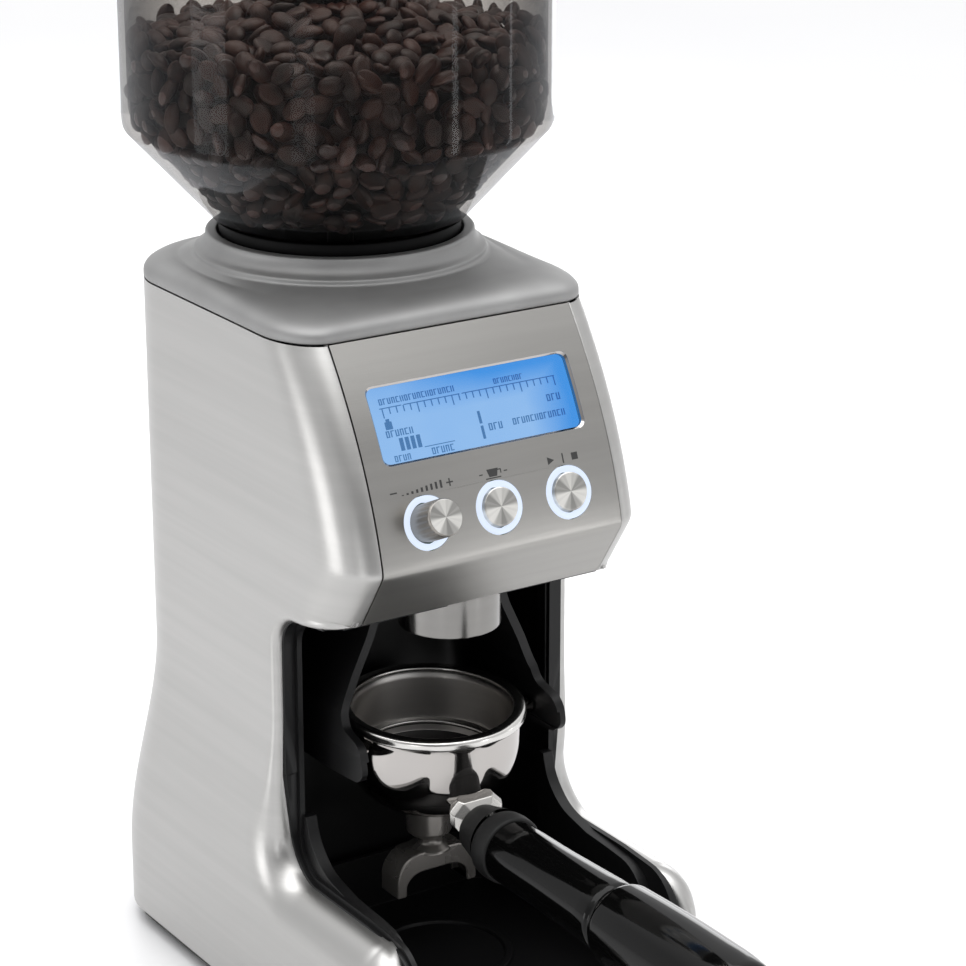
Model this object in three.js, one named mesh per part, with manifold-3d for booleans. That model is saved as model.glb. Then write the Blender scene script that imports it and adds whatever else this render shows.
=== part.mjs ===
// A burr coffee grinder with a see-through bean hopper, a brushed steel body, a sloping control panel
// and a portafilter that rests in a cradle under the grounds outlet.
// Millimetres, +Z up, the front faces -Y. The group's origin is the middle of the box, on the counter.
import * as THREE from "three";
import { mergeVertices } from "three/addons/utils/BufferGeometryUtils.js";
import Module from "manifold-3d";

const wasm = await Module();
wasm.setup();

// ---------------------------------------------------------------- driving dimensions
// Every y below is counted from the burr axis, and the whole group is shifted at the end.
const GAP = 0.3; // between two pieces that touch on the real machine
const TOTAL_HEIGHT = 399;
const HOPPER_RADIUS = 80;

// The steel body: a column that flares out to the base, a head in front of it and two arms at the base.
const BODY_HALF = 65;
const BODY_BACK = 58;
const FLARE_SIDE = 8.5;
const FLARE_BACK = 12;
const FLARE_LOW = 32;
const FLARE_HIGH = 126;
const STEEL = 1.5;
const SKIRT_Z = 7; // lower edge of the steel
const BODY_TOP = 268;
const TOE_Y = -146;
const ARM_TOP = 59;
const COLUMN_FRONT = -58;
const BAY_TOP = 165;
const BACK_CORNER = 30;
const FRONT_CORNER = 16; // across the front
const FRONT_STRETCH = 1.5; // the front corners run this much further back than across

// The control panel is a plane from the top edge to a fold, and folds back under the fold.
const PANEL_TOP = { y: -77, z: BODY_TOP };
const PANEL_FOLD = { y: -112.5, z: 192.5 };
const PANEL_LOW = { y: -97.3, z: 170 };
const PANEL_HALF = 51;
const SCREEN = { half: 42.6, top: 17, bottom: 46 };
const CONTROL_ROW = 67.7; // from the panel's top edge down the slope
const CONTROL_PITCH = 30;
const RING_RADIUS = 9.4;
const BUTTON_RADIUS = 7.4;

// The top cover and the hopper.
const COLLAR_RADIUS = 50.5;
const COLLAR_BORE = 46.2;
const COLLAR_TOP = 288;
const NECK_RADIUS = 45;
const NECK_TOP = 292;
const RIM_Z = 329; // where the hopper's cone meets its cylinder
const HOPPER_TOP = 391;
const HOPPER_WALL = 2.6;
const BEAN_EDGE = 357;
const BEAN_CROWN = 377;

// The portafilter bay.
const OUTLET = { y: -75, radius: 19, low: 153.5 };
const BASKET = { y: -62.5, z: 115.5, radius: 35.6, tilt: THREE.MathUtils.degToRad(3) };
const HANDLE_Z = 76.5;
const HANDLE_START = -108;
const HANDLE_END = -264;
const LINER_FLOOR = 10.7;
const LINER_HALF = 58.7;
const LINER_WALL = 2.2;
const LINER_BACK = -11;

// The drive: motor pinion, a compound idler and the output gear on the burr shaft.
const GEAR_MODULE = 1.5;
const TEETH = { pinion: 10, idler: 32, idlerPinion: 12, output: 30 };
const MOTOR_Y = 30;
const LOW_GEARS = { bottom: 199, top: 205 };
const HIGH_GEARS = { bottom: 206, top: 212 };
const CHAMBER = { radius: 36, floor: 222, top: 242 };

// The grind adjustment: crown teeth under the ring, turned by a pinion on the side dial's shaft.
const CROWN = { module: 3, teeth: 32, pinionTeeth: 8, rootZ: 245.2, top: 253 };
const CROWN_PITCH_Z = CROWN.rootZ - 1.15 * CROWN.module;
const DIAL_Z = CROWN_PITCH_Z - (CROWN.module * CROWN.pinionTeeth) / 2;

const BACK_END = 72;
const ORIGIN_SHIFT = -(HANDLE_END + HOPPER_RADIUS) / 2;
const FAR = 600; // beyond every surface, for cutting tools
const EDGE_ROLL = 8;
const CONTROL_X = [-CONTROL_PITCH, 0, CONTROL_PITCH];
const FEET = [
  [-56, -126],
  [56, -126],
  [-50, 46],
  [50, 46],
];
const GLAND = { x: 36, z: 26, radius: 6 };
const PLUNGER = { z: 106, radius: 3.5 };
const CRADLE = { wall: 3.4, front: -68, back: LINER_BACK - LINER_WALL - GAP, low: 100.5 };
const CRADLE_WIDTHS = [
  [92, 44.6],
  [112, 45],
  [124, 43.6],
  [138, 38],
  [152, 31.4],
  [BAY_TOP + 0.6, 26],
]; // half width of the cradle's outside at each height
const WELL = [
  [0, -27],
  [27, -27],
  [29.4, -24],
  [30.6, -18],
  [31.3, -6],
  [31.3, -1.4],
]; // inside of the portafilter's bowl, as [radius, height] below its rim
const EAR = { y: -66, z: 107, radius: 3, end: 43.2 };
const SPOUT = { y: -60, low: 40, crown: 57, reach: 17.8 };
const SHAFT = 4;
const POST = 5;
const POSTS = [
  [-40, -22],
  [40, -22],
  [-40, 24],
  [0, 47],
];

// ---------------------------------------------------------------- materials
const paint = (color, roughness, metalness, extra = {}) =>
  new THREE.MeshStandardMaterial({ color, roughness, metalness, ...extra });
const brushedSteel = paint("#c3c2bd", 0.32, 1);
const satinSilver = paint("#9b9b9b", 0.45, 0.7);
const chrome = paint("#e6e3df", 0.08, 1);
const burrSteel = paint("#8d8d8f", 0.35, 1);
const blackPlastic = paint("#1b1b1c", 0.55, 0);
const glossBlack = paint("#070707", 0.12, 0);
const rubber = paint("#141414", 0.9, 0);
const smoked = paint("#6b5f5a", 0.05, 0, { transparent: true, opacity: 0.35 });
const clear = paint("#dfe8f2", 0.04, 0, { transparent: true, opacity: 0.3 });
const screenBlue = paint("#6fb4f5", 0.3, 0, { emissive: "#4a9cf0" });
const ringWhite = paint("#e9f0ff", 0.3, 0, { emissive: "#cfe0ff" });
const circuit = paint("#1f5a35", 0.6, 0);
const nylon = paint("#dcd8c8", 0.5, 0);
const housingGrey = paint("#4a4c50", 0.6, 0);
const beanBrown = paint("#3a211a", 0.55, 0);

// ---------------------------------------------------------------- geometry helpers
// A closed geometry as a manifold solid with its faces pointing out.
function solid(geometry) {
  const bare = geometry.index ? geometry.toNonIndexed() : geometry.clone();
  for (const name of Object.keys(bare.attributes)) {
    if (name !== "position") bare.deleteAttribute(name);
  }
  const merged = mergeVertices(bare, 1e-4);
  const at = merged.attributes.position;
  const a = new THREE.Vector3();
  const b = new THREE.Vector3();
  const c = new THREE.Vector3();
  const faces = [];
  let volume = 0;
  for (let i = 0; i < merged.index.count; i += 3) {
    const [p, q, r] = [0, 1, 2].map((k) => merged.index.getX(i + k));
    if (p === q || q === r || r === p) continue;
    a.fromBufferAttribute(at, p);
    b.fromBufferAttribute(at, q);
    c.fromBufferAttribute(at, r);
    volume += a.dot(b.cross(c));
    faces.push([p, q, r]);
  }
  const outward = volume < 0 ? faces.map(([p, q, r]) => [p, r, q]) : faces;
  return new wasm.Manifold(
    new wasm.Mesh({
      numProp: 3,
      vertProperties: at.array,
      triVerts: new Uint32Array(outward.flat()),
    }),
  );
}

function geometryOf(made) {
  const mesh = made.getMesh();
  const geometry = new THREE.BufferGeometry();
  geometry.setAttribute("position", new THREE.BufferAttribute(mesh.vertProperties, 3));
  geometry.setIndex(new THREE.BufferAttribute(mesh.triVerts, 1));
  geometry.computeVertexNormals();
  return geometry;
}

const union = (first, ...rest) => rest.reduce((sum, s) => sum.add(s), first);
const cut = (first, ...rest) => rest.reduce((left, s) => left.subtract(s), first);

function box(x0, x1, y0, y1, z0, z1) {
  const geometry = new THREE.BoxGeometry(x1 - x0, y1 - y0, z1 - z0);
  return solid(geometry.translate((x0 + x1) / 2, (y0 + y1) / 2, (z0 + z1) / 2));
}

// A cylinder from z0 to z1 about a vertical axis, and the same about an axis along X or Y.
function rod(radius, z0, z1, x = 0, y = 0, sides = 16, topRadius = radius) {
  const geometry = new THREE.CylinderGeometry(topRadius, radius, z1 - z0, sides);
  return solid(geometry.rotateX(Math.PI / 2).translate(x, y, (z0 + z1) / 2));
}
function rodX(radius, x0, x1, y, z, sides = 16) {
  const geometry = new THREE.CylinderGeometry(radius, radius, x1 - x0, sides);
  return solid(geometry.rotateZ(Math.PI / 2).translate((x0 + x1) / 2, y, z));
}
function rodY(radius, y0, y1, x, z, sides = 16) {
  const geometry = new THREE.CylinderGeometry(radius, radius, y1 - y0, sides);
  return solid(geometry.translate(x, (y0 + y1) / 2, z));
}

// A ring or a round body turned about Z: the profile is [radius, height] points.
function turned(profile, sides = 20, closed = true) {
  const points = profile.map(([r, z]) => new THREE.Vector2(r, z));
  if (closed && profile[0][0] > 0) points.push(points[0].clone());
  return solid(new THREE.LatheGeometry(points, sides).rotateX(Math.PI / 2));
}

// A solid through a stack of closed outlines, each an array of [x, y, z] with as many points.
function loft(rings) {
  const count = rings[0].length;
  const position = rings.flat(2);
  const index = [];
  for (let i = 0; i + 1 < rings.length; i++) {
    for (let k = 0; k < count; k++) {
      const next = (k + 1) % count;
      const [a, b] = [i * count + k, i * count + next];
      index.push(a, b, b + count, a, b + count, a + count);
    }
  }
  const flat = (ring) => ring.map(([x, y]) => new THREE.Vector2(x, y));
  const last = (rings.length - 1) * count;
  for (const [a, b, c] of THREE.ShapeUtils.triangulateShape(flat(rings[0]), [])) {
    index.push(a, c, b);
  }
  for (const [a, b, c] of THREE.ShapeUtils.triangulateShape(flat(rings.at(-1)), [])) {
    index.push(last + a, last + b, last + c);
  }
  const geometry = new THREE.BufferGeometry();
  geometry.setAttribute("position", new THREE.Float32BufferAttribute(position, 3));
  geometry.setIndex(index);
  return solid(geometry);
}

// A three.js matrix as manifold's column-by-column list.
const columnsOf = (matrix) => matrix.elements;

const axisBasis = (u, v, w) => new THREE.Matrix4().makeBasis(u, v, w);
const X = new THREE.Vector3(1, 0, 0);
const Y = new THREE.Vector3(0, 1, 0);
const Z = new THREE.Vector3(0, 0, 1);

// Outlines drawn in the side view (y, z) and extruded along X, or in plan (x, y) and along Z.
function alongX(shape, x0, x1, bevel = {}) {
  const options = { depth: x1 - x0, bevelEnabled: false, curveSegments: 4, ...bevel };
  const geometry = new THREE.ExtrudeGeometry(shape, options);
  return solid(geometry.applyMatrix4(axisBasis(Y, Z, X)).translate(x0, 0, 0));
}
function alongY(shape, y0, y1) {
  const geometry = new THREE.ExtrudeGeometry(shape, {
    depth: y1 - y0,
    bevelEnabled: false,
    curveSegments: 4,
  });
  return solid(geometry.applyMatrix4(axisBasis(X, Z, Y.clone().negate())).translate(0, y1, 0));
}
function alongZ(shape, z0, z1, curveSegments = 4) {
  const geometry = new THREE.ExtrudeGeometry(shape, {
    depth: z1 - z0,
    bevelEnabled: false,
    curveSegments,
  });
  return solid(geometry.translate(0, 0, z0));
}
const outline = (points) => new THREE.Shape(points.map(([u, v]) => new THREE.Vector2(u, v)));

// A rounded rectangle in plan as [x, y, z] points, counter-clockwise from above.
function plan(half, back, front, backCorner, frontCorner, z, steps = 4) {
  const depth = frontCorner * FRONT_STRETCH;
  const corners = [
    [half - frontCorner, front + depth, frontCorner, depth, -Math.PI / 2],
    [half - backCorner, back - backCorner, backCorner, backCorner, 0],
    [-half + backCorner, back - backCorner, backCorner, backCorner, Math.PI / 2],
    [-half + frontCorner, front + depth, frontCorner, depth, Math.PI],
  ];
  return corners.flatMap(([x, y, across, deep, start]) =>
    Array.from({ length: steps + 1 }, (_, k) => {
      const angle = start + ((Math.PI / 2) * k) / steps;
      return [x + across * Math.cos(angle), y + deep * Math.sin(angle), z];
    }),
  );
}

// ---------------------------------------------------------------- the scene graph
const machine = new THREE.Group();

function add(name, made, material, parent = machine) {
  const mesh = new THREE.Mesh(made.isBufferGeometry ? made : geometryOf(made), material);
  mesh.name = name;
  parent.add(mesh);
  return mesh;
}

// ---------------------------------------------------------------- the steel body
function flareAt(z) {
  const t = THREE.MathUtils.clamp((FLARE_HIGH - z) / (FLARE_HIGH - FLARE_LOW), 0, 1);
  return t * t * (3 - 2 * t);
}

function frontAt(z) {
  const stops = [
    [ARM_TOP - 9, TOE_Y],
    [PANEL_LOW.z, PANEL_LOW.y],
    [PANEL_FOLD.z, PANEL_FOLD.y],
    [PANEL_TOP.z, PANEL_TOP.y],
  ];
  if (z <= stops[0][0]) return TOE_Y;
  for (let i = 1; i < stops.length; i++) {
    const [[z0, y0], [z1, y1]] = [stops[i - 1], stops[i]];
    if (z <= z1) return y0 + ((y1 - y0) * (z - z0)) / (z1 - z0);
  }
  return PANEL_TOP.y;
}

// The body's outside as a stack of plan outlines, made smaller by inset all round.
function envelope(inset) {
  const heights = [0, FLARE_LOW, 50, 64, 79, 94, 110, FLARE_HIGH, PANEL_LOW.z, PANEL_FOLD.z];
  const ring = (z, at) =>
    plan(
      BODY_HALF + FLARE_SIDE * flareAt(at) - inset,
      BODY_BACK + FLARE_BACK * flareAt(at) - inset,
      frontAt(at) + inset,
      BACK_CORNER - inset,
      FRONT_CORNER - inset,
      z,
    );
  return loft([...heights.map((z) => ring(z, z)), ring(BODY_TOP, BODY_TOP)]);
}

// The side view of the steel: a C that is open at the portafilter bay.
function sideShape() {
  const side = new THREE.Shape();
  const reach = 40;
  side.moveTo(BODY_BACK + reach, -reach);
  side.lineTo(BODY_BACK + reach, BODY_TOP + reach);
  const slope = (PANEL_TOP.y - PANEL_FOLD.y) / (PANEL_TOP.z - PANEL_FOLD.z);
  side.lineTo(PANEL_TOP.y + slope * reach, BODY_TOP + reach);
  side.lineTo(PANEL_FOLD.y, PANEL_FOLD.z);
  side.lineTo(PANEL_LOW.y, PANEL_LOW.z);
  side.lineTo(COLUMN_FRONT - 18, BAY_TOP + 0.5);
  side.absarc(COLUMN_FRONT - 14, BAY_TOP - 14, 14, Math.PI / 2, 0, true);
  side.absarc(COLUMN_FRONT - 16, ARM_TOP + 16, 16, 0, -Math.PI / 2, true);
  side.absarc(TOE_Y + 18, ARM_TOP - 18, 18, Math.PI / 2, Math.PI, false);
  side.lineTo(TOE_Y, -reach);
  return side;
}


function makeShell() {
  const mouth = LINER_HALF + GAP;
  const prism = (inset) =>
    alongX(sideShape(), -mouth, mouth, {
      bevelEnabled: true,
      bevelThickness: BODY_HALF + FLARE_SIDE + 1 - mouth - inset,
      bevelSize: EDGE_ROLL,
      bevelOffset: -EDGE_ROLL - inset,
      bevelSegments: 3,
    });
  const sheet = cut(envelope(0).intersect(prism(0)), envelope(STEEL).intersect(prism(STEEL)));
  return cut(
    sheet,
    box(-FAR, FAR, -FAR, FAR, -FAR, SKIRT_Z),
    box(-mouth, mouth, -FAR, COLUMN_FRONT + 4, -FAR, PANEL_LOW.z - 1),
    box(-PANEL_HALF, PANEL_HALF, -FAR, COLUMN_FRONT - 10, BAY_TOP - 6, FAR),
    rodX(5, BODY_HALF - 6, BODY_HALF + 6, 0, DIAL_Z),
    rodY(GLAND.radius + GAP, BODY_BACK, BACK_END, GLAND.x, GLAND.z),
  );
}

// The cover: a pillow on the body's outline that rises into the collar round the hopper's neck.
function makeCover() {
  const foot = BODY_TOP + GAP;
  const ring = (inset, z) =>
    plan(
      BODY_HALF - inset,
      BODY_BACK - inset,
      PANEL_TOP.y + inset,
      BACK_CORNER - Math.min(inset, 8),
      FRONT_CORNER - Math.min(inset, 8),
      z,
    );
  const pillow = (gap, drop) =>
    loft([
      ring(gap, foot - drop),
      ring(gap, foot + 3 - drop),
      ring(gap + 1.5, foot + 6.4 - drop),
      ring(gap + 4.5, foot + 8.6 - drop),
      ring(gap + 11, foot + 10 - drop),
    ]);
  const crown = foot + 9;
  const collar = turned([
    [COLLAR_BORE, crown - 4],
    [60, crown - 4],
    [60, crown + 0.6],
    [55, crown + 2.2],
    [54.6, crown + 3.4],
    [51.6, crown + 6],
    [COLLAR_RADIUS, crown + 8],
    [COLLAR_RADIUS, COLLAR_TOP - 1.2],
    [COLLAR_RADIUS - 1.2, COLLAR_TOP],
    [COLLAR_BORE, COLLAR_TOP],
  ], 28);
  const bore = rod(COLLAR_BORE, foot - 9, COLLAR_TOP + 9, 0, 0, 28);
  return union(cut(pillow(0, 0), pillow(2.4, 2.6), bore), collar);
}

add("outer_shell", makeShell(), brushedSteel);
add("top_cover", makeCover(), satinSilver);

const basePlate = loft([
  plan(72.2 - GAP, 68.2 - GAP, TOE_Y + STEEL + GAP, 28, 15.5, 4.4),
  plan(72.2 - GAP, 68.2 - GAP, TOE_Y + STEEL + GAP, 28, 15.5, 8.4),
]);
add("base_plate", basePlate, blackPlastic);
for (const [index, [x, y]] of FEET.entries()) {
  add(`foot_${index + 1}`, rod(9, 0, 4.1, x, y, 20, 10), rubber);
}

const gland = union(
  rodY(GLAND.radius, BODY_BACK + 2, BACK_END - 1, GLAND.x, GLAND.z),
  rodY(GLAND.radius + 3, BODY_BACK + FLARE_BACK + GAP, BACK_END, GLAND.x, GLAND.z),
);
add("cord_gland", cut(gland, rodY(3.6, BODY_BACK, BACK_END + 1, GLAND.x, GLAND.z)), rubber);

// ---------------------------------------------------------------- the control panel
const slope = new THREE.Vector3(0, PANEL_TOP.y - PANEL_FOLD.y, PANEL_TOP.z - PANEL_FOLD.z);
const upSlope = slope.clone().normalize();
const panelOut = X.clone().cross(upSlope);
const panelFrame = axisBasis(X, upSlope, panelOut).setPosition(0, PANEL_TOP.y, PANEL_TOP.z);

// The panel's own coordinates: x across, -s down the slope, and height along its outward normal.
const panel = new THREE.Group();
panel.name = "control_panel";
panel.applyMatrix4(panelFrame);
machine.add(panel);

function roundedBox(x0, x1, y0, y1, radius) {
  const shape = new THREE.Shape();
  shape.moveTo(x1, y0 + radius);
  shape.absarc(x1 - radius, y1 - radius, radius, 0, Math.PI / 2, false);
  shape.absarc(x0 + radius, y1 - radius, radius, Math.PI / 2, Math.PI, false);
  shape.absarc(x0 + radius, y0 + radius, radius, Math.PI, 1.5 * Math.PI, false);
  shape.absarc(x1 - radius, y0 + radius, radius, 1.5 * Math.PI, 2 * Math.PI, false);
  return shape;
}
const screenShape = (gap) =>
  roundedBox(
    -SCREEN.half + gap,
    SCREEN.half - gap,
    -SCREEN.bottom + gap,
    -SCREEN.top - gap,
    3 - gap,
  );

function makePanel() {
  const half = PANEL_HALF - GAP;
  const strip = outline([
    [PANEL_TOP.y, PANEL_TOP.z - GAP],
    [PANEL_FOLD.y, PANEL_FOLD.z],
    [PANEL_LOW.y, PANEL_LOW.z],
    [PANEL_LOW.y + 2, PANEL_LOW.z],
    [PANEL_FOLD.y + 2, PANEL_FOLD.z],
    [PANEL_TOP.y + 1.6, PANEL_TOP.z - GAP],
  ]);
  const window = alongZ(screenShape(0), -6, 6).transform(columnsOf(panelFrame));
  const holes = CONTROL_X.map((x) =>
    rod(RING_RADIUS + GAP, -9, 9, x, -CONTROL_ROW, 32).transform(columnsOf(panelFrame)),
  );
  return cut(alongX(strip, -half, half), window, ...holes);
}

add("front_panel", makePanel(), brushedSteel);
add("lcd_window", alongZ(screenShape(GAP), -1.3, -0.3), clear, panel);
add("lcd_module", alongZ(screenShape(GAP + 0.4), -7, -1.8), screenBlue, panel);

const board = box(-46, 46, -CONTROL_ROW - 10, -10, -12.6, -11);
const boardParts = CONTROL_X.slice(1).map((x) =>
  box(x - 3, x + 3, -CONTROL_ROW - 3, -CONTROL_ROW + 3, -12, -9),
);
const encoder = cut(
  box(-6, 6, -6, 6, -12, -6),
  rod(3.3, -14, 0),
).translate([CONTROL_X[0], -CONTROL_ROW, 0]);
const encoderHole = rod(3.3, -14, 0, CONTROL_X[0], -CONTROL_ROW);
const screenMount = box(-40, 40, -SCREEN.bottom + 2, -SCREEN.top - 2, -11.4, -7.3);
const plates = union(board, ...boardParts, screenMount);
add("control_board", union(cut(plates, encoderHole), encoder), circuit, panel);

for (const [index, name] of ["dial_light_ring", "amount_light_ring", "start_light_ring"].entries()) {
  const ring = turned([
    [BUTTON_RADIUS + GAP, -3],
    [RING_RADIUS, -3],
    [RING_RADIUS, 0.6],
    [BUTTON_RADIUS + GAP, 0.6],
  ]);
  add(name, ring.translate([CONTROL_X[index], -CONTROL_ROW, 0]), ringWhite, panel);
}
for (const [index, name] of ["amount_button", "start_button"].entries()) {
  const cap = turned([
    [0, -7],
    [2.4, -7],
    [2.4, -2.4],
    [BUTTON_RADIUS, -2.4],
    [BUTTON_RADIUS, 0.9],
    [BUTTON_RADIUS - 0.5, 1.4],
    [0, 1.4],
  ], 20, false);
  add(name, cap.translate([CONTROL_X[index + 1], -CONTROL_ROW, 0]), brushedSteel, panel);
}
const FLUTES = 12;
const flutes = Array.from({ length: FLUTES }, (_, k) => {
  const angle = (2 * Math.PI * k) / FLUTES;
  return rod(0.4, 1, 13, 7.3 * Math.cos(angle), 7.3 * Math.sin(angle), 6);
});
const dialShape = turned([
  [0, -11.2],
  [3, -11.2],
  [3, -2],
  [BUTTON_RADIUS, -2],
  [BUTTON_RADIUS, 0.9],
  [7.3, 0.9],
  [7.3, 13],
  [6.7, 13.8],
  [0, 13.8],
], 24, false);
const dial = cut(dialShape, ...flutes).translate([CONTROL_X[0], -CONTROL_ROW, 0]);
add("amount_dial", dial, brushedSteel, panel);

// ---------------------------------------------------------------- the bay and its tray
function makeLiner() {
  const back = LINER_BACK;
  const half = LINER_HALF - LINER_WALL;
  const steel = alongX(sideShape(), -FAR / 2, FAR / 2);
  const sides = box(-LINER_HALF, LINER_HALF, TOE_Y + 3, back, 8.8, BAY_TOP + 3.4).intersect(steel);
  const floor = box(-half - 1, half + 1, TOE_Y + 3, back, 8.8, LINER_FLOOR);
  const rear = box(-half - 1, half + 1, back - LINER_WALL, back, 8.8, BAY_TOP + 3.4);
  return cut(
    union(cut(sides, box(-half, half, -FAR, back, 0, BAY_TOP + 1.2)), floor, rear),
    box(-FAR, FAR, -FAR, PANEL_LOW.y + 4, BAY_TOP - 20, FAR),
    rod(OUTLET.radius + GAP, BAY_TOP - 9, FAR, 0, OUTLET.y, 24),
    rodY(PLUNGER.radius + GAP, back - 9, back + 9, 0, PLUNGER.z),
  );
}
add("bay_liner", makeLiner(), blackPlastic);

function makeTray() {
  const rim = outline([
    [TOE_Y + 3, 11],
    [TOE_Y + 3, 16],
    [-136, 22],
    [-130, 50],
    [-122, 59],
    [-94, 62],
    [-74, 66],
    [-66, 78],
    [-62, 78],
    [-58, 34],
    [LINER_BACK - LINER_WALL - 1, 34],
    [LINER_BACK - LINER_WALL - 1, 11],
  ]);
  const half = LINER_HALF - LINER_WALL - GAP;
  const inside = box(-half + 2, half - 2, TOE_Y + 5.5, LINER_BACK - LINER_WALL - 3, 13.4, FAR);
  const ringShape = [
    [24, 13],
    [28, 13],
    [28, 15],
    [24, 15],
  ];
  const stand = turned(ringShape, 32).translate([0, BASKET.y, 0]);
  return union(cut(alongX(rim, -half, half), inside), stand);
}
add("grinds_tray", makeTray(), blackPlastic);

const plunger = union(
  rodY(PLUNGER.radius, LINER_BACK - 15, LINER_BACK + 5, 0, PLUNGER.z),
  rodY(PLUNGER.radius + 2, LINER_BACK + 1, LINER_BACK + 3, 0, PLUNGER.z),
);
add("start_plunger", plunger, housingGrey);
const switchBlock = box(-10, 10, LINER_BACK + GAP, LINER_BACK + 15, PLUNGER.z - 10, PLUNGER.z + 10);
const switchPocket = rodY(PLUNGER.radius + 3, LINER_BACK, LINER_BACK + 9, 0, PLUNGER.z);
add("start_switch", cut(switchBlock, switchPocket), housingGrey);

// ---------------------------------------------------------------- the outlet and the cradle
const outletWall = 2;
const collarShape = turned([
  [OUTLET.radius - outletWall, OUTLET.low],
  [OUTLET.radius, OUTLET.low],
  [OUTLET.radius, BAY_TOP + 6],
  [OUTLET.radius - outletWall, BAY_TOP + 6],
]);
add("outlet_collar", collarShape.translate([0, OUTLET.y, 0]), brushedSteel);

// The chute takes the grounds from the side of the burr chamber, forward and down to the outlet.
function makeChute() {
  const path = (grow) =>
    outline([
      [-CHAMBER.radius - GAP, 224 - grow],
      [-CHAMBER.radius - GAP, 236 + grow],
      [-52 - grow, 236 + grow],
      [OUTLET.y - 6 - grow, 218],
      [OUTLET.y - 6 - grow, 180],
      [OUTLET.y + 8 + grow, 180],
      [OUTLET.y + 8 + grow, 224 - grow],
    ]);
  const body = union(alongX(path(2), -12, 12), rod(15, OUTLET.low + 2, 184, 0, OUTLET.y, 32));
  const channel = alongX(path(0), -10, 10);
  return cut(body, channel, rod(13, OUTLET.low, 183, 0, OUTLET.y, 32), box(-10, 10, -50, -30, 224, 236));
}
add("grounds_chute", makeChute(), blackPlastic);

// A shroud that narrows up towards the outlet; its front edges end in hooks under the ears.
function makeCradle() {
  const side = new THREE.Shape();
  side.moveTo(CRADLE.front, BAY_TOP + 0.6);
  side.lineTo(CRADLE.front, 126);
  side.quadraticCurveTo(-69, 119, -77, 117.5);
  side.quadraticCurveTo(-85, 115.5, -86.2, 109.5);
  side.quadraticCurveTo(-87, 103, -78, 101.2);
  side.lineTo(-62, CRADLE.low);
  side.lineTo(CRADLE.back, CRADLE.low);
  side.lineTo(CRADLE.back, BAY_TOP + 0.6);
  const across = (inset) => {
    const right = CRADLE_WIDTHS.map(([z, half]) => [half - inset, z]);
    const left = right.toReversed().map(([half, z]) => [-half, z]);
    return alongY(outline([...right, ...left]), -FAR / 4, 0);
  };
  const slotHalf = EAR.radius + 0.6;
  const earSlot = box(
    -EAR.end - 0.5, EAR.end + 0.5, -FAR, EAR.y + 4, EAR.z - slotHalf, EAR.z + slotHalf,
  );
  const inside = box(-FAR, FAR, -FAR, CRADLE.back - 4, 0, FAR);
  return cut(
    alongX(side, -FAR / 4, FAR / 4).intersect(across(0)),
    across(CRADLE.wall).intersect(inside),
    box(-OUTLET.radius - 1.5, OUTLET.radius + 1.5, -FAR, FAR, OUTLET.low - 6, FAR),
    rodY(PLUNGER.radius + 2, -FAR / 4, 0, 0, PLUNGER.z),
    earSlot,
  );
}
add("cradle", makeCradle(), blackPlastic);

// ---------------------------------------------------------------- the portafilter
const filter = new THREE.Group();
filter.name = "portafilter";
machine.add(filter);
const tilted = new THREE.Matrix4()
  .makeRotationX(BASKET.tilt)
  .setPosition(0, BASKET.y, BASKET.z);

function makeBowl() {
  const cup = turned([
    [0, -41],
    [13, -41],
    [22, -38],
    [28.8, -31.6],
    [32.4, -24],
    [33.6, -16],
    [33.8, -6],
    [BASKET.radius, -4],
    [BASKET.radius, -1.4],
    ...WELL.toReversed(),
  ], 24, false).transform(columnsOf(tilted));
  const ears = [
    rodX(EAR.radius, -EAR.end, -30, EAR.y, EAR.z, 16),
    rodX(EAR.radius, 30, EAR.end, EAR.y, EAR.z, 16),
  ];
  const neck = rodY(8.5, HANDLE_START, BASKET.y - 10, 0, HANDLE_Z, 8);
  const stem = rod(8.6, 62, 80, 0, SPOUT.y, 20);
  const well = turned([...WELL, [WELL.at(-1)[0], 3], [0, 3]], 24, false);
  return cut(union(cup, ...ears, neck, stem), well.transform(columnsOf(tilted)));
}
add("portafilter_body", makeBowl(), chrome, filter);

const basket = turned([
  [0, -25.6],
  [25, -25.6],
  [28.6, -23],
  [29.6, -1.1],
  [33.6, -1.1],
  [34, -0.4],
  [33.4, 0],
  [29, 0],
  [28.4, -1],
  [27.6, -22],
  [24.6, -24.6],
  [0, -24.6],
], 24, false);
add("filter_basket", basket.transform(columnsOf(tilted)), chrome, filter);

// Two spouts side by side: an open gutter that arches from one tip under the stem to the other.
function makeSpout() {
  const arch = (reach, crown, thick, lip) => {
    const shape = new THREE.Shape();
    shape.moveTo(-reach, SPOUT.low);
    shape.quadraticCurveTo(-reach + 1, crown - 1, -6, crown);
    shape.lineTo(6, crown);
    shape.quadraticCurveTo(reach - 1, crown - 1, reach, SPOUT.low);
    shape.lineTo(reach - lip, SPOUT.low);
    shape.quadraticCurveTo(reach - lip - 3, crown - thick - 1, 0, crown - thick);
    shape.quadraticCurveTo(3 + lip - reach, crown - thick - 1, lip - reach, SPOUT.low);
    return shape;
  };
  const outside = alongY(arch(SPOUT.reach, SPOUT.crown, 8, 4.4), SPOUT.y - 6.2, SPOUT.y + 6.2);
  const channel = alongY(arch(SPOUT.reach - 1.6, SPOUT.crown - 1.8, 8, 4.4), SPOUT.y - 4.8, SPOUT.y + 4.8);
  return union(cut(outside, channel), rod(5, SPOUT.crown - 1, 61.7, 0, SPOUT.y, 20));
}
add("spout", makeSpout(), chrome, filter);

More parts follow.
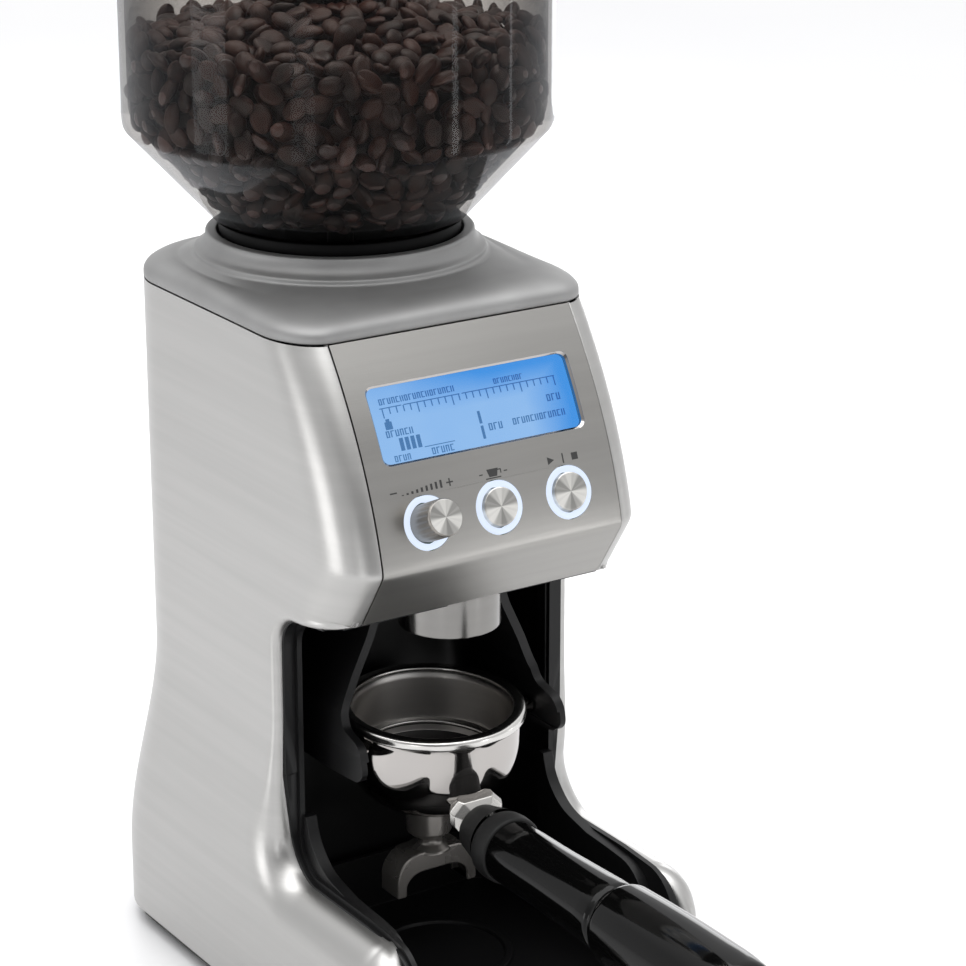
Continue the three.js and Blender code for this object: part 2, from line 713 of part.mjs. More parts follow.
// A grip's section is round; each part is turned about the handle's axis, from start to end.
function grip(profile, sides = 20) {
  const points = profile.map(([y, r]) => new THREE.Vector2(r, y));
  const geometry = new THREE.LatheGeometry(points, sides);
  return solid(geometry.translate(0, 0, HANDLE_Z));
}
add("handle_collar", grip([
  [HANDLE_START - GAP, 0],
  [HANDLE_START - GAP, 11],
  [HANDLE_START - 5, 12.6],
  [HANDLE_START - 9, 12.6],
  [HANDLE_START - 9, 0],
]), rubber, filter);
add("handle", grip([
  [HANDLE_START - 9.3, 0],
  [HANDLE_START - 9.3, 12.2],
  [-150, 12.2],
  [-178, 13.4],
  [-180, 12.4],
  [-184, 12.4],
  [-187, 15],
  [-225, 15.8],
  [-252, 15.4],
  [-258, 14],
  [-258, 0],
]), glossBlack, filter);
add("handle_cap", grip([
  [-258.3, 0],
  [-258.3, 12.4],
  [-262, 11.4],
  [HANDLE_END, 9],
  [HANDLE_END, 0],
]), chrome, filter);

// ---------------------------------------------------------------- motor, gears and burrs
// A spur gear's outline with a tooth centred on the angle "first".
function gearShape(module, teeth, first = 0) {
  const pitch = (module * teeth) / 2;
  const [tip, root] = [pitch + 0.85 * module, pitch - 1.15 * module];
  const step = (2 * Math.PI) / teeth;
  const shape = new THREE.Shape();
  for (let k = 0; k < teeth; k++) {
    const mid = first + k * step;
    const corners = [
      [root, -0.3],
      [tip, -0.13],
      [tip, 0.13],
      [root, 0.3],
    ];
    for (const [i, [radius, share]] of corners.entries()) {
      const angle = mid + share * step;
      const [u, v] = [radius * Math.cos(angle), radius * Math.sin(angle)];
      if (k === 0 && i === 0) shape.moveTo(u, v);
      else shape.lineTo(u, v);
    }
  }
  return shape;
}

const pitchRadius = (teeth) => (GEAR_MODULE * teeth) / 2;
const toIdler = pitchRadius(TEETH.idlerPinion) + pitchRadius(TEETH.output);
const motorToIdler = pitchRadius(TEETH.pinion) + pitchRadius(TEETH.idler);
const idlerY = (toIdler ** 2 - motorToIdler ** 2 + MOTOR_Y ** 2) / (2 * MOTOR_Y);
const idlerX = Math.sqrt(toIdler ** 2 - idlerY ** 2);
const fromBurr = Math.atan2(idlerY, idlerX);
const fromMotor = Math.atan2(idlerY - MOTOR_Y, idlerX);
const halfTooth = (teeth) => Math.PI / teeth;

const motorGear = union(
  alongZ(gearShape(GEAR_MODULE, TEETH.pinion, fromMotor), LOW_GEARS.bottom, LOW_GEARS.top),
  rod(3, 176, LOW_GEARS.bottom + 1),
);
add("motor_pinion", motorGear.translate([0, MOTOR_Y, 0]), burrSteel);

const idler = union(
  alongZ(
    gearShape(GEAR_MODULE, TEETH.idler, fromMotor + Math.PI + halfTooth(TEETH.idler)),
    LOW_GEARS.bottom,
    LOW_GEARS.top,
  ),
  alongZ(
    gearShape(GEAR_MODULE, TEETH.idlerPinion, fromBurr + Math.PI),
    LOW_GEARS.top - 1,
    HIGH_GEARS.top,
  ),
);
add("idler_gear", cut(idler, rod(2.8, 190, 220)).translate([idlerX, idlerY, 0]), nylon);

const outputGear = alongZ(
  gearShape(GEAR_MODULE, TEETH.output, fromBurr + halfTooth(TEETH.output)),
  HIGH_GEARS.bottom,
  HIGH_GEARS.top,
);
add("output_gear", cut(outputGear, rod(SHAFT + GAP / 2, 200, 220)), nylon);
add("burr_shaft", rod(SHAFT, 194, 255, 0, 0, 16), burrSteel);

const can = cut(
  union(rod(25, 92, 186, 0, MOTOR_Y, 32), rod(9, 186, 189.2, 0, MOTOR_Y)),
  rod(3.5, 170, 200, 0, MOTOR_Y),
);
add("motor_can", can, housingGrey);

// The gear plate hangs between the shell's sides and carries the motor, the gears and four posts.
function makeGearPlate() {
  const [halfWidth, back] = [BODY_HALF - STEEL - GAP, BODY_BACK - STEEL - GAP];
  const corner = BACK_CORNER - STEEL - GAP;
  const plate = loft([189.5, 194].map((z) => plan(halfWidth, back, -30, corner, 2, z)));
  const posts = POSTS.map(([x, y]) => rod(4, 193, 213.7, x, y, 12));
  const axle = rod(2.5, 193, HIGH_GEARS.top + 1, idlerX, idlerY, 16);
  const lugs = [-1, 1].map((hand) =>
    box(hand * 58 - 3, hand * 58 + 3, -28, 26, 193, 198));
  return cut(
    union(plate, axle, ...posts, ...lugs),
    rod(10, 180, 200, 0, MOTOR_Y),
    rod(SHAFT + GAP, 180, 200),
  );
}
add("gear_plate", makeGearPlate(), housingGrey);

function makeChamber() {
  const bowl = turned([
    [SHAFT + 0.6, 214],
    [44, 214],
    [44, 218],
    [CHAMBER.radius, 218],
    [CHAMBER.radius, CHAMBER.top],
    [CHAMBER.radius - 3, CHAMBER.top],
    [CHAMBER.radius - 3, CHAMBER.floor],
    [SHAFT + 0.6, CHAMBER.floor],
  ]);
  const tabs = POSTS.map(([x, y]) => rod(6, 214, 218, x, y, 16));
  return cut(union(bowl, ...tabs), box(-10, 10, -50, -25, 224, 236));
}
add("burr_chamber", makeChamber(), housingGrey);

const blades = Array.from({ length: 6 }, (_, k) =>
  box(SHAFT + 1, 30, -1.2, 1.2, 223, 226.5).rotate([0, 0, 60 * k]));
const hub = turned([
  [SHAFT + GAP / 2, 223],
  [14, 223],
  [14, 226.5],
  [SHAFT + GAP / 2, 226.5],
]);
add("impeller", union(hub, ...blades), nylon);

// The burrs: ridges on a cone that turns inside ridges on a fixed ring.
const ridges = (count, made) =>
  Array.from({ length: count }, (_, k) => made.rotate([0, 0, (360 * k) / count]));
const coneBody = turned([
  [SHAFT + GAP / 2, 227],
  [23, 227],
  [23, 231],
  [11, 248],
  [SHAFT + GAP / 2, 248],
]);
const ridge = loft([
  [[20, -1, 229], [24, 0, 229], [20, 1, 229]],
  [[8, -1, 247.5], [12.4, 1, 247.5], [8, 2, 247.5]],
]);
add("cone_burr", union(coneBody, ...ridges(8, ridge)), burrSteel);
add("burr_nut", cut(rod(8, 248.3, 253, 0, 0, 6), rod(SHAFT + GAP / 2, 240, 260)), burrSteel);

const ringBurr = turned([
  [25.4, 229],
  [32.4, 229],
  [32.4, 243],
  [35.4, 243.4],
  [35.4, 254],
  [31, 256],
  [20, 256],
  [15.2, 248],
  [25.4, 233],
]);
const groove = loft([
  [[25, -1.2, 228], [27.4, 0, 228], [25, 1.2, 228]],
  [[14, -1.2, 250], [17.6, 0, 250], [14, 1.2, 250]],
]);
add("ring_burr", cut(ringBurr, ...ridges(8, groove)), burrSteel);

const bail = union(
  turned([[24, 256.3], [26.4, 256.3], [26.4, 258.7], [24, 258.7]], 32)
    .subtract(box(-FAR, FAR, 0, FAR, 0, FAR)),
  box(-26.4, -24, -1, 8, 256.3, 258.7),
  box(24, 26.4, -1, 8, 256.3, 258.7),
);
add("burr_handle", bail, chrome);

const crownPitch = (CROWN.module * CROWN.teeth) / 2;
function makeAdjustingRing() {
  const ring = turned([
    [35.7, CROWN.rootZ],
    [crownPitch + 5, CROWN.rootZ],
    [crownPitch + 5, CROWN.rootZ + 4],
    [42, CROWN.rootZ + 5],
    [42, CROWN.top],
    [35.7, CROWN.top],
  ]);
  const wedge = (halfWidth, z) =>
    [[-3.4, -1], [5, -1], [5, 1], [-3.4, 1]].map(([x, side]) =>
      [crownPitch + x, side * halfWidth, z]);
  const tooth = loft([
    wedge(0.38 * CROWN.module, CROWN_PITCH_Z - 0.85 * CROWN.module),
    wedge(0.9 * CROWN.module, CROWN.rootZ + 0.5),
  ]).rotate([0, 0, 180 / CROWN.teeth]);
  return union(ring, ...ridges(CROWN.teeth, tooth));
}
add("adjusting_ring", makeAdjustingRing(), housingGrey);

const dialPinion = union(
  alongX(gearShape(CROWN.module, CROWN.pinionTeeth, Math.PI / 2), crownPitch - 3, crownPitch + 4.6),
  alongX(outline([[-3, -3], [3, -3], [3, 3], [-3, 3]]), crownPitch + 4, BODY_HALF + 8),
);
add("dial_pinion", dialPinion.translate([0, 0, DIAL_Z]), nylon);

const dialSide = turned([
  [0, 0],
  [21, 0],
  [22, 1.5],
  [21, 9],
  [19, 10],
  [0, 10],
], 24, false);
const knurl = Array.from({ length: 12 }, (_, k) =>
  rod(1.6, -1, 9.2, 22.6, 0, 6).rotate([0, 0, 30 * k]));
const dialPocket = box(-3.3, 3.3, -3.3, 3.3, -1, 8);
const grindDial = cut(dialSide, dialPocket, ...knurl)
  .transform(columnsOf(axisBasis(Y, Z, X).setPosition(BODY_HALF + GAP, 0, DIAL_Z)));
add("grind_dial", grindDial, housingGrey);

// ---------------------------------------------------------------- boards and switches
const powerBoard = union(
  box(-34, 34, -4, 30, 8.7, 10.3),
  rod(8, 10, 31, -20, 12),
  box(-4, 16, 2, 22, 10, 25),
  box(22, 32, 0, 26, 10, 17),
);
add("power_board", powerBoard, circuit);
add("hopper_switch", box(-8, 8, 47, 52, 254, 272.8), housingGrey);

// ---------------------------------------------------------------- the hopper
const cup = turned([
  [22, 262],
  [NECK_RADIUS - 1, 262],
  [NECK_RADIUS, 263],
  [NECK_RADIUS, NECK_TOP],
  [NECK_RADIUS - 3, NECK_TOP],
  [NECK_RADIUS - 3, 266],
  [22, 266],
]);
const bridge = union(box(-23, 23, -4, 4, 262, 266), rod(9, 262, 266));
add("hopper_base", cut(union(cup, bridge), rod(4.6, 250, 280)), blackPlastic);

const WALL = HOPPER_WALL;
const hopperShape = turned([
  [NECK_RADIUS - 2.6, NECK_TOP + GAP],
  [NECK_RADIUS + 1.2, NECK_TOP + GAP],
  [NECK_RADIUS + 3, NECK_TOP + 1.6],
  [HOPPER_RADIUS - 1, RIM_Z - 1],
  [HOPPER_RADIUS, RIM_Z + 2],
  [HOPPER_RADIUS, HOPPER_TOP],
  [HOPPER_RADIUS - WALL, HOPPER_TOP],
  [HOPPER_RADIUS - WALL, RIM_Z + 3],
  [HOPPER_RADIUS - WALL - 1, RIM_Z],
  [NECK_RADIUS - 0.4, NECK_TOP + 3],
], 32);
add("hopper_shell", hopperShape, smoked);

const beans = turned([
  [POST + 1, 294],
  [NECK_RADIUS - 3, 294],
  [NECK_RADIUS - 0.9, NECK_TOP + 3.4],
  [HOPPER_RADIUS - WALL - 1.6, RIM_Z + 0.4],
  [HOPPER_RADIUS - WALL - 0.6, RIM_Z + 4],
  [HOPPER_RADIUS - WALL - 0.6, BEAN_EDGE],
  [48, BEAN_CROWN - 4],
  [20, BEAN_CROWN],
  [POST + 1, BEAN_CROWN],
]);
add("coffee_beans", beans, beanBrown);

const lockPost = turned([
  [0, 257.4],
  [9, 257.4],
  [9, 261.4],
  [4, 261.4],
  [4, 270],
  [POST, 272],
  [POST, BEAN_CROWN + 1],
  [14, BEAN_CROWN + 2],
  [14, BEAN_CROWN + 4],
  [0, BEAN_CROWN + 4],
], 24, false);
const wings = box(-13, 13, -2, 2, BEAN_CROWN + 3, BEAN_CROWN + 6.2);
add("lock_dial", union(lockPost, wings), blackPlastic);

const lid = turned([
  [0, HOPPER_TOP + GAP],
  [72, HOPPER_TOP + GAP],
  [72, HOPPER_TOP - 4.6],
  [73.6, HOPPER_TOP - 4.6],
  [73.6, HOPPER_TOP + GAP],
  [HOPPER_RADIUS, HOPPER_TOP + GAP],
  [HOPPER_RADIUS, TOTAL_HEIGHT - 3],
  [HOPPER_RADIUS - 4, TOTAL_HEIGHT - 1.4],
  [60, TOTAL_HEIGHT - 1.4],
  [52, TOTAL_HEIGHT - 3.4],
  [20, TOTAL_HEIGHT - 3.4],
  [17, TOTAL_HEIGHT],
  [0, TOTAL_HEIGHT],
], 32, false);
add("hopper_lid", lid, smoked);
const seal = turned([
  [73.9, HOPPER_TOP - 3.6],
  [77, HOPPER_TOP - 3.6],
  [77, HOPPER_TOP - 0.4],
  [73.9, HOPPER_TOP - 0.4],
], 32);
add("lid_seal", seal, rubber);

machine.position.y = ORIGIN_SHIFT;
export default machine;
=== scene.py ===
"""A burr coffee grinder: steel body, display panel, bean hopper and a portafilter in its cradle.

Sizes in the constants are millimetres. Every y is counted from the burr axis, which the frame gives.
"""

import itertools
import math
import random

import bmesh
import bpy
import numpy as np
from mathutils import Matrix, Vector


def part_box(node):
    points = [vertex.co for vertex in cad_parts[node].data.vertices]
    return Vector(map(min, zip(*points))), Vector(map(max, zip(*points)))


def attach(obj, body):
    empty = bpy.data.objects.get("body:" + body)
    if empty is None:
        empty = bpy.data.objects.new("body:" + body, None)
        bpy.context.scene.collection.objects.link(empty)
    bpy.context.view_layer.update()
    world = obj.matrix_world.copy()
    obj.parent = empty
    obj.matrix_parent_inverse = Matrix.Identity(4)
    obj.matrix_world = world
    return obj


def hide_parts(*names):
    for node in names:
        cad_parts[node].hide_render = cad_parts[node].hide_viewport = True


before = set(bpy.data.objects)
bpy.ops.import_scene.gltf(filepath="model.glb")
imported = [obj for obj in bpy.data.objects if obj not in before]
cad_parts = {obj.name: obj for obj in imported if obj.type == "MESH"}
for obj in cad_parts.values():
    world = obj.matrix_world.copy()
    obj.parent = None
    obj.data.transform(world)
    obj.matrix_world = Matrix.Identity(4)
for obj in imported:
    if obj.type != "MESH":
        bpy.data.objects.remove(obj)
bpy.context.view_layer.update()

MM = 0.001
hopper_low, hopper_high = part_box("hopper_shell")
AXIS = (hopper_low + hopper_high) / 2  # the burr axis passes through the hopper's middle
AXIS.z = 0

# ------------------------------------------------------------------ sizes
HALF = 65.0  # the column's half width
FLARE_SIDE, FLARE_BACK = 8.5, 12.0
FLARE_LOW, FLARE_HIGH = 32.0, 126.0
BACK = 58.0
SKIRT_Z = 7.0
BODY_TOP = 268.0
BACK_CORNER = 30.0
FRONT_CORNER, FRONT_DEPTH = 16.0, 24.0  # the front corners are elliptical in plan
FRONT_SPAN = 31.7  # the length of that quarter ellipse
TOE_Y = -146.0
MOUTH_HALF = 59.0  # the steel rolls in to this at the bay
ARM_TOP = 59.0
COLUMN_FRONT = -58.0
BAY_TOP = 165.0
PANEL_HALF = 51.0
PANEL_TOP = (-77.0, 268.0)
PANEL_FOLD = (-112.5, 192.5)
PANEL_LOW = (-97.3, 170.0)
PANEL_BOW = 4.3  # how far the upper panel bulges in front of the straight line between its ends
CONTROL_ROW = 67.7
CONTROL_X = (-30.0, 0.0, 30.0)
RING_RADIUS, BUTTON_RADIUS = 9.6, 7.0
SCREEN_HALF, SCREEN_TOP, SCREEN_LOW = 42.8, 17.0, 46.0
COLLAR_RADIUS, COLLAR_BORE, COLLAR_TOP = 50.5, 46.2, 288.0
NECK_RADIUS, NECK_TOP = 45.0, 292.0
RIM_Z, HOPPER_RADIUS, HOPPER_TOP = 329.0, 80.0, 391.0
BASKET_Y, BASKET_Z, BASKET_TILT = -62.5, 115.5, math.radians(3.0)
RIM_RADIUS = 35.6
EAR_Y, EAR_Z = -66.0, 107.0
SPOUT_Y = -59.6
HANDLE_Z = 76.5
OUTLET_Y, OUTLET_RADIUS, OUTLET_LOW = -75.0, 19.0, 153.5
LINER_BACK = -13.2

# the upper panel's own directions: up its slope, and out of it
slope = Vector((0, PANEL_TOP[0] - PANEL_FOLD[0], PANEL_TOP[1] - PANEL_FOLD[1])).normalized()
panel_out = Vector((1, 0, 0)).cross(slope)
panel_length = math.hypot(PANEL_TOP[0] - PANEL_FOLD[0], PANEL_TOP[1] - PANEL_FOLD[1])


def at(x, y, z):
    """A point given in millimetres from the burr axis, in the frame's metres."""
    return AXIS + Vector((x, y, z)) * MM


# ------------------------------------------------------------------ mesh helpers
def clean_object(name, points, faces):
    """An object from millimetre points, with joined points and outward normals."""
    mesh = bpy.data.meshes.new(name)
    mesh.from_pydata([at(*p) for p in points], [], faces)
    bm = bmesh.new()
    bm.from_mesh(mesh)
    bmesh.ops.remove_doubles(bm, verts=bm.verts, dist=1e-6)
    bmesh.ops.recalc_face_normals(bm, faces=bm.faces)
    bm.to_mesh(mesh)
    bm.free()
    piece = bpy.data.objects.new(name, mesh)
    bpy.context.scene.collection.objects.link(piece)
    return piece


def make(name, body, points, faces, material, slot, replaces=(), smooth=35):
    """A visible piece that rides on a CAD body."""
    piece = clean_object(name, points, faces)
    piece.data.materials.append(material)
    piece.data.shade_smooth()
    if smooth < 180:
        piece.data.set_sharp_from_angle(angle=math.radians(smooth))
    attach(piece, body)
    if replaces:
        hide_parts(*replaces)
    return piece


def bake(piece, smooth=None):
    """Applies a piece's modifiers; smooth is the angle above which edges then stay sharp."""
    bpy.context.view_layer.update()
    graph = bpy.context.evaluated_depsgraph_get()
    final = bpy.data.meshes.new_from_object(piece.evaluated_get(graph))
    old = piece.data
    piece.modifiers.clear()
    piece.data = final
    bpy.data.meshes.remove(old)
    final.name = piece.name
    if smooth:
        final.shade_smooth()
        final.set_sharp_from_angle(angle=math.radians(smooth))
    return piece


def modifier(piece, kind, **settings):
    added = piece.modifiers.new(kind.title(), kind)
    for key, value in settings.items():
        setattr(added, key, value)
    return added


def round_edges(piece, width, segments=3, angle=30):
    """Rounds the edges, and lets the large flat faces keep flat shading up to them."""
    modifier(
        piece, "BEVEL", width=width * MM, segments=segments, limit_method="ANGLE",
        angle_limit=math.radians(angle), use_clamp_overlap=True,
    )
    bake(piece, 50)
    modifier(piece, "WEIGHTED_NORMAL", weight=100, keep_sharp=True)
    return bake(piece)


def grid_faces(rows, columns, wrap=False):
    """Quads between rows of points; wrap joins each row's last column to its first."""
    faces = []
    for i in range(rows - 1):
        for j in range(columns if wrap else columns - 1):
            k = (j + 1) % columns
            faces.append((i * columns + j, i * columns + k, (i + 1) * columns + k, (i + 1) * columns + j))
    return faces


def smooth_profile(points, radius, steps=4):
    """Rounds the inner corners of a polyline; radius may be one number or one per corner."""
    points = [np.array(p, float) for p in points]
    out = [points[0]]
    for i in range(1, len(points) - 1):
        before, here, after = points[i - 1], points[i], points[i + 1]
        into, away = before - here, after - here
        size = radius[i - 1] if isinstance(radius, (list, tuple)) else radius
        reach = min(size, 0.48 * np.linalg.norm(into), 0.48 * np.linalg.norm(away))
        if reach < 1e-4:
            out.append(here)
            continue
        start = here + into / np.linalg.norm(into) * reach
        end = here + away / np.linalg.norm(away) * reach
        for t in np.linspace(0, 1, steps + 1):
            out.append((1 - t) ** 2 * start + 2 * t * (1 - t) * here + t**2 * end)
    out.append(points[-1])
    return [tuple(p) for p in out]


def lathe_mesh(profile, sides=96, centre=(0, 0)):
    """Points and faces of a (radius, z) profile turned about a vertical axis."""
    points = []
    for r, z in profile:
        radius = max(r, 1e-4)
        for k in range(sides):
            a = 2 * math.pi * k / sides
            points.append((radius * math.cos(a) + centre[0], radius * math.sin(a) + centre[1], z))
    return points, grid_faces(len(profile), sides, wrap=True)


def lathe(name, body, profile, material, slot, replaces=(), sides=96, centre=(0, 0)):
    return make(name, body, *lathe_mesh(profile, sides, centre), material, slot, replaces)


def along_y(profile, sides, z):
    """Points and faces of a (y, radius) profile turned about an axis along Y, at x = 0."""
    points = []
    for y, r in profile:
        radius = max(r, 1e-4)
        for k in range(sides):
            a = 2 * math.pi * k / sides
            points.append((radius * math.cos(a), y, z + radius * math.sin(a)))
    return points, grid_faces(len(profile), sides, wrap=True)


def prism(outline, depth_a, depth_b, to_point):
    """A closed prism: outline is 2-D points, and to_point(u, v, depth) places them."""
    n = len(outline)
    points = [to_point(u, v, depth_a) for u, v in outline]
    points += [to_point(u, v, depth_b) for u, v in outline]
    faces = [tuple(range(n - 1, -1, -1)), tuple(range(n, 2 * n))]
    faces += [(i, (i + 1) % n, n + (i + 1) % n, n + i) for i in range(n)]
    return points, faces


def merge(*meshes):
    points, faces = [], []
    for p, f in meshes:
        base = len(points)
        points += list(p)
        faces += [tuple(base + i for i in face) for face in f]
    return points, faces


def in_side_view(y, z, x):
    return x, y, z


def in_plan(x, y, z):
    return x, y, z


def box_mesh(x0, x1, y0, y1, z0, z1):
    return prism([(x0, y0), (x1, y0), (x1, y1), (x0, y1)], z0, z1, in_plan)


def cut(piece, *meshes):
    """Cuts closed meshes out of the piece."""
    for points, faces in meshes:
        tool = clean_object("cutter", points, faces)
        modifier(piece, "BOOLEAN", operation="DIFFERENCE", object=tool, solver="EXACT")
        bake(piece, 40)
        bpy.data.objects.remove(tool)
    return piece


def arc(cx, cy, radius, start, end, steps=10, ry=None):
    ry = radius if ry is None else ry
    return [
        (cx + radius * math.cos(math.radians(a)), cy + ry * math.sin(math.radians(a)))
        for a in np.linspace(start, end, steps + 1)
    ]


def rounded_rect(half_u, v0, v1, radius, steps=6):
    return (
        arc(half_u - radius, v1 - radius, radius, 0, 90, steps)
        + arc(-half_u + radius, v1 - radius, radius, 90, 180, steps)
        + arc(-half_u + radius, v0 + radius, radius, 180, 270, steps)
        + arc(half_u - radius, v0 + radius, radius, 270, 360, steps)
    )


# ------------------------------------------------------------------ materials
class Graph:
    """Short calls for building a node tree."""

    def __init__(self, tree, coordinates):
        self.tree = tree
        self.place = self.add("ShaderNodeTexCoord").outputs[coordinates]

    def add(self, kind, **settings):
        node = self.tree.nodes.new(kind)
        for key, value in settings.items():
            setattr(node, key, value)
        return node

    def link(self, source, target):
        self.tree.links.new(source, target)

    def join(self, node, *values):
        """Sets a node's inputs in turn, each to a socket or a fixed value; returns its first output."""
        for target, value in zip(node.inputs, values):
            if isinstance(value, bpy.types.NodeSocket):
                self.link(value, target)
            else:
                target.default_value = value
        return node.outputs[0]

    def math(self, operation, *values):
        return self.join(self.add("ShaderNodeMath", operation=operation), *values)

    def split(self, vector):
        """The X, Y and Z sockets of a vector."""
        node = self.add("ShaderNodeSeparateXYZ")
        self.link(vector, node.inputs["Vector"])
        return node.outputs

    def between(self, factor, low, high, start=0.0, end=1.0):
        """Maps a factor that runs from start to end to a number between low and high."""
        return self.join(self.add("ShaderNodeMapRange"), factor, start, end, low, high)

    def noise(self, scale, detail=3.0, stretch=(1, 1, 1), roughness=0.5):
        mapping = self.add("ShaderNodeMapping")
        mapping.inputs["Scale"].default_value = stretch
        self.link(self.place, mapping.inputs["Vector"])
        texture = self.add("ShaderNodeTexNoise")
        texture.inputs["Scale"].default_value = scale
        texture.inputs["Detail"].default_value = detail
        texture.inputs["Roughness"].default_value = roughness
        self.link(mapping.outputs["Vector"], texture.inputs["Vector"])
        return texture.outputs["Fac"]

    def ramp(self, factor, *stops):
        node = self.add("ShaderNodeValToRGB")
        ends = node.color_ramp.elements
        for i, (position, colour) in enumerate(stops):
            stop = ends[i] if i < 2 else ends.new(position)
            stop.position = position
            stop.color = (*colour, 1)
        self.link(factor, node.inputs["Fac"])
        return node.outputs["Color"]


class Nodes(Graph):
    """A material's node tree, built on its Principled shader."""

    def __init__(self, name):
        self.material = bpy.data.materials.new(name)
        self.material.use_nodes = True
        super().__init__(self.material.node_tree, "Object")
        self.shader = self.tree.nodes["Principled BSDF"]
        self.output = self.tree.nodes["Material Output"]

    def set(self, **values):
        for key, value in values.items():
            self.shader.inputs[key.replace("_", " ")].default_value = value

    def rough(self, factor, low, high):
        self.link(self.between(factor, low, high), self.shader.inputs["Roughness"])

    def colour(self, socket):
        self.link(socket, self.shader.inputs["Base Color"])

    def bump(self, factor, strength, distance):
        node = self.add("ShaderNodeBump")
        node.inputs["Strength"].default_value = strength
        node.inputs["Distance"].default_value = distance
        self.link(factor, node.inputs["Height"])
        self.link(node.outputs["Normal"], self.shader.inputs["Normal"])


def shaded(shade, share):
    """A colour brought down to a share of its brightness."""
    return tuple(c * share for c in shade)


def brushed(name, shade, rough, line=(0.03, 0.03, 1.0)):
    """Steel brushed round the body; line is the noise's stretch, small along the brushing."""
    n = Nodes(name)
    n.colour(n.ramp(n.noise(220, 2, line), (0.3, shaded(shade, 0.93)), (0.7, shade)))
    n.rough(n.noise(9, 2), rough * 0.9, rough * 1.12)
    n.bump(n.noise(2600, 3, line, 0.6), 0.24, 0.00008)
    n.set(Metallic=1.0, Anisotropic=0.5, Anisotropic_Rotation=0.25)
    tangent = n.add("ShaderNodeTangent", direction_type="RADIAL", axis="Z")
    n.link(tangent.outputs["Tangent"], n.shader.inputs["Tangent"])
    return n.material


def plastic(name, shade, rough, grain=900, strength=0.15, shine=0.5):
    """Moulded plastic with a fine spark-eroded grain."""
    n = Nodes(name)
    n.colour(n.ramp(n.noise(40, 2), (0.3, shaded(shade, 0.85)), (0.7, shade)))
    n.rough(n.noise(25, 2), rough * 0.88, rough * 1.12)
    n.bump(n.noise(grain, 2), strength, 0.00006)
    n.set(Specular_IOR_Level=shine)
    return n.material


def polished(name, shade, rough, metallic=1.0):
    n = Nodes(name)
    n.colour(n.ramp(n.noise(30, 2), (0.3, shaded(shade, 0.97)), (0.7, shade)))
    n.rough(n.noise(60, 3), rough * 0.7, rough * 1.3)
    n.set(Metallic=metallic)
    return n.material


def spun_with_painted_fan(name, shade, rough):
    """Turned metal with a painted fan of highlight and shade: light and dark wedges in the colour stand in
    for the reflections of its turned finish. The UV's u runs round the control's axis.
    """
    n = Nodes(name)
    turn = n.split(n.add("ShaderNodeUVMap", uv_map="turned").outputs["UV"])["X"]
    broad = n.math("SINE", n.math("MULTIPLY", turn, 6 * math.pi))
    fine = n.math("SINE", n.math("MULTIPLY", turn, 22 * math.pi))
    both = n.math("MULTIPLY_ADD", fine, 0.35, broad)
    n.colour(n.ramp(n.between(both, 0.0, 1.0, -1.2, 1.2), (0.15, shaded(shade, 0.42)), (0.85, shade)))
    n.rough(n.noise(30, 2), rough * 0.95, rough * 1.05)
    n.set(Metallic=1.0, Anisotropic=0.35)
    tangent = n.add("ShaderNodeTangent", direction_type="UV_MAP", uv_map="turned")
    n.link(tangent.outputs["Tangent"], n.shader.inputs["Tangent"])
    return n.material


def turned_map(piece):
    """Gives a control a UV map whose u is the angle about its axis and v the distance from it."""
    mesh = piece.data
    layer = mesh.uv_layers.new(name="turned")
    centre = sum((v.co for v in mesh.vertices), Vector()) / len(mesh.vertices)
    for face in mesh.polygons:
        places = []
        for vertex in face.vertices:
            local = mesh.vertices[vertex].co - centre
            places.append((local.x, -local.dot(slope)))
        outer = [math.atan2(v, u) / (2 * math.pi) % 1.0 for u, v in places if math.hypot(u, v) > MM * 0.01]
        if max(outer) - min(outer) > 0.5:
            outer = [u + 1.0 if u < 0.5 else u for u in outer]
        middle = sum(outer) / len(outer)
        turns = iter(outer)
        for loop, (u, v) in zip(face.loop_indices, places):
            away = math.hypot(u, v)
            layer.data[loop].uv = (next(turns) if away > MM * 0.01 else middle, away * 50)


def smoked(name, tint, edge, shine=0.5):
    """A thin smoked clear wall: it darkens what is behind it, more so where the view grazes it."""
    n = Nodes(name)
    facing = n.add("ShaderNodeLayerWeight").outputs["Facing"]
    cloud = n.math("MULTIPLY_ADD", n.noise(12, 1), 0.05, facing)
    through = n.join(n.add("ShaderNodeBsdfTransparent"), n.ramp(cloud, (0.3, tint), (0.95, edge)))
    gloss = n.add("ShaderNodeBsdfGlossy")
    gloss.inputs["Roughness"].default_value = 0.04
    gloss.inputs["Color"].default_value = (0.95, 0.97, 1.0, 1)
    amount = n.between(n.math("POWER", facing, 4.0), 0.008, shine)
    outside = n.between(n.add("ShaderNodeNewGeometry").outputs["Backfacing"], 1.0, 0.0)
    front = n.math("MULTIPLY", amount, outside)
    mix = n.join(n.add("ShaderNodeMixShader"), front, through, gloss.outputs["BSDF"])
    n.tree.nodes.remove(n.shader)
    n.link(mix, n.output.inputs["Surface"])
    return n.material


def lit(name, shade, strength):
    n = Nodes(name)
    glow = n.ramp(n.noise(60, 2), (0.3, shaded(shade, 0.94)), (0.7, shade))
    n.link(glow, n.shader.inputs["Emission Color"])
    n.set(Base_Color=(0.03, 0.03, 0.04, 1), Emission_Strength=strength, Roughness=0.4)
    return n.material


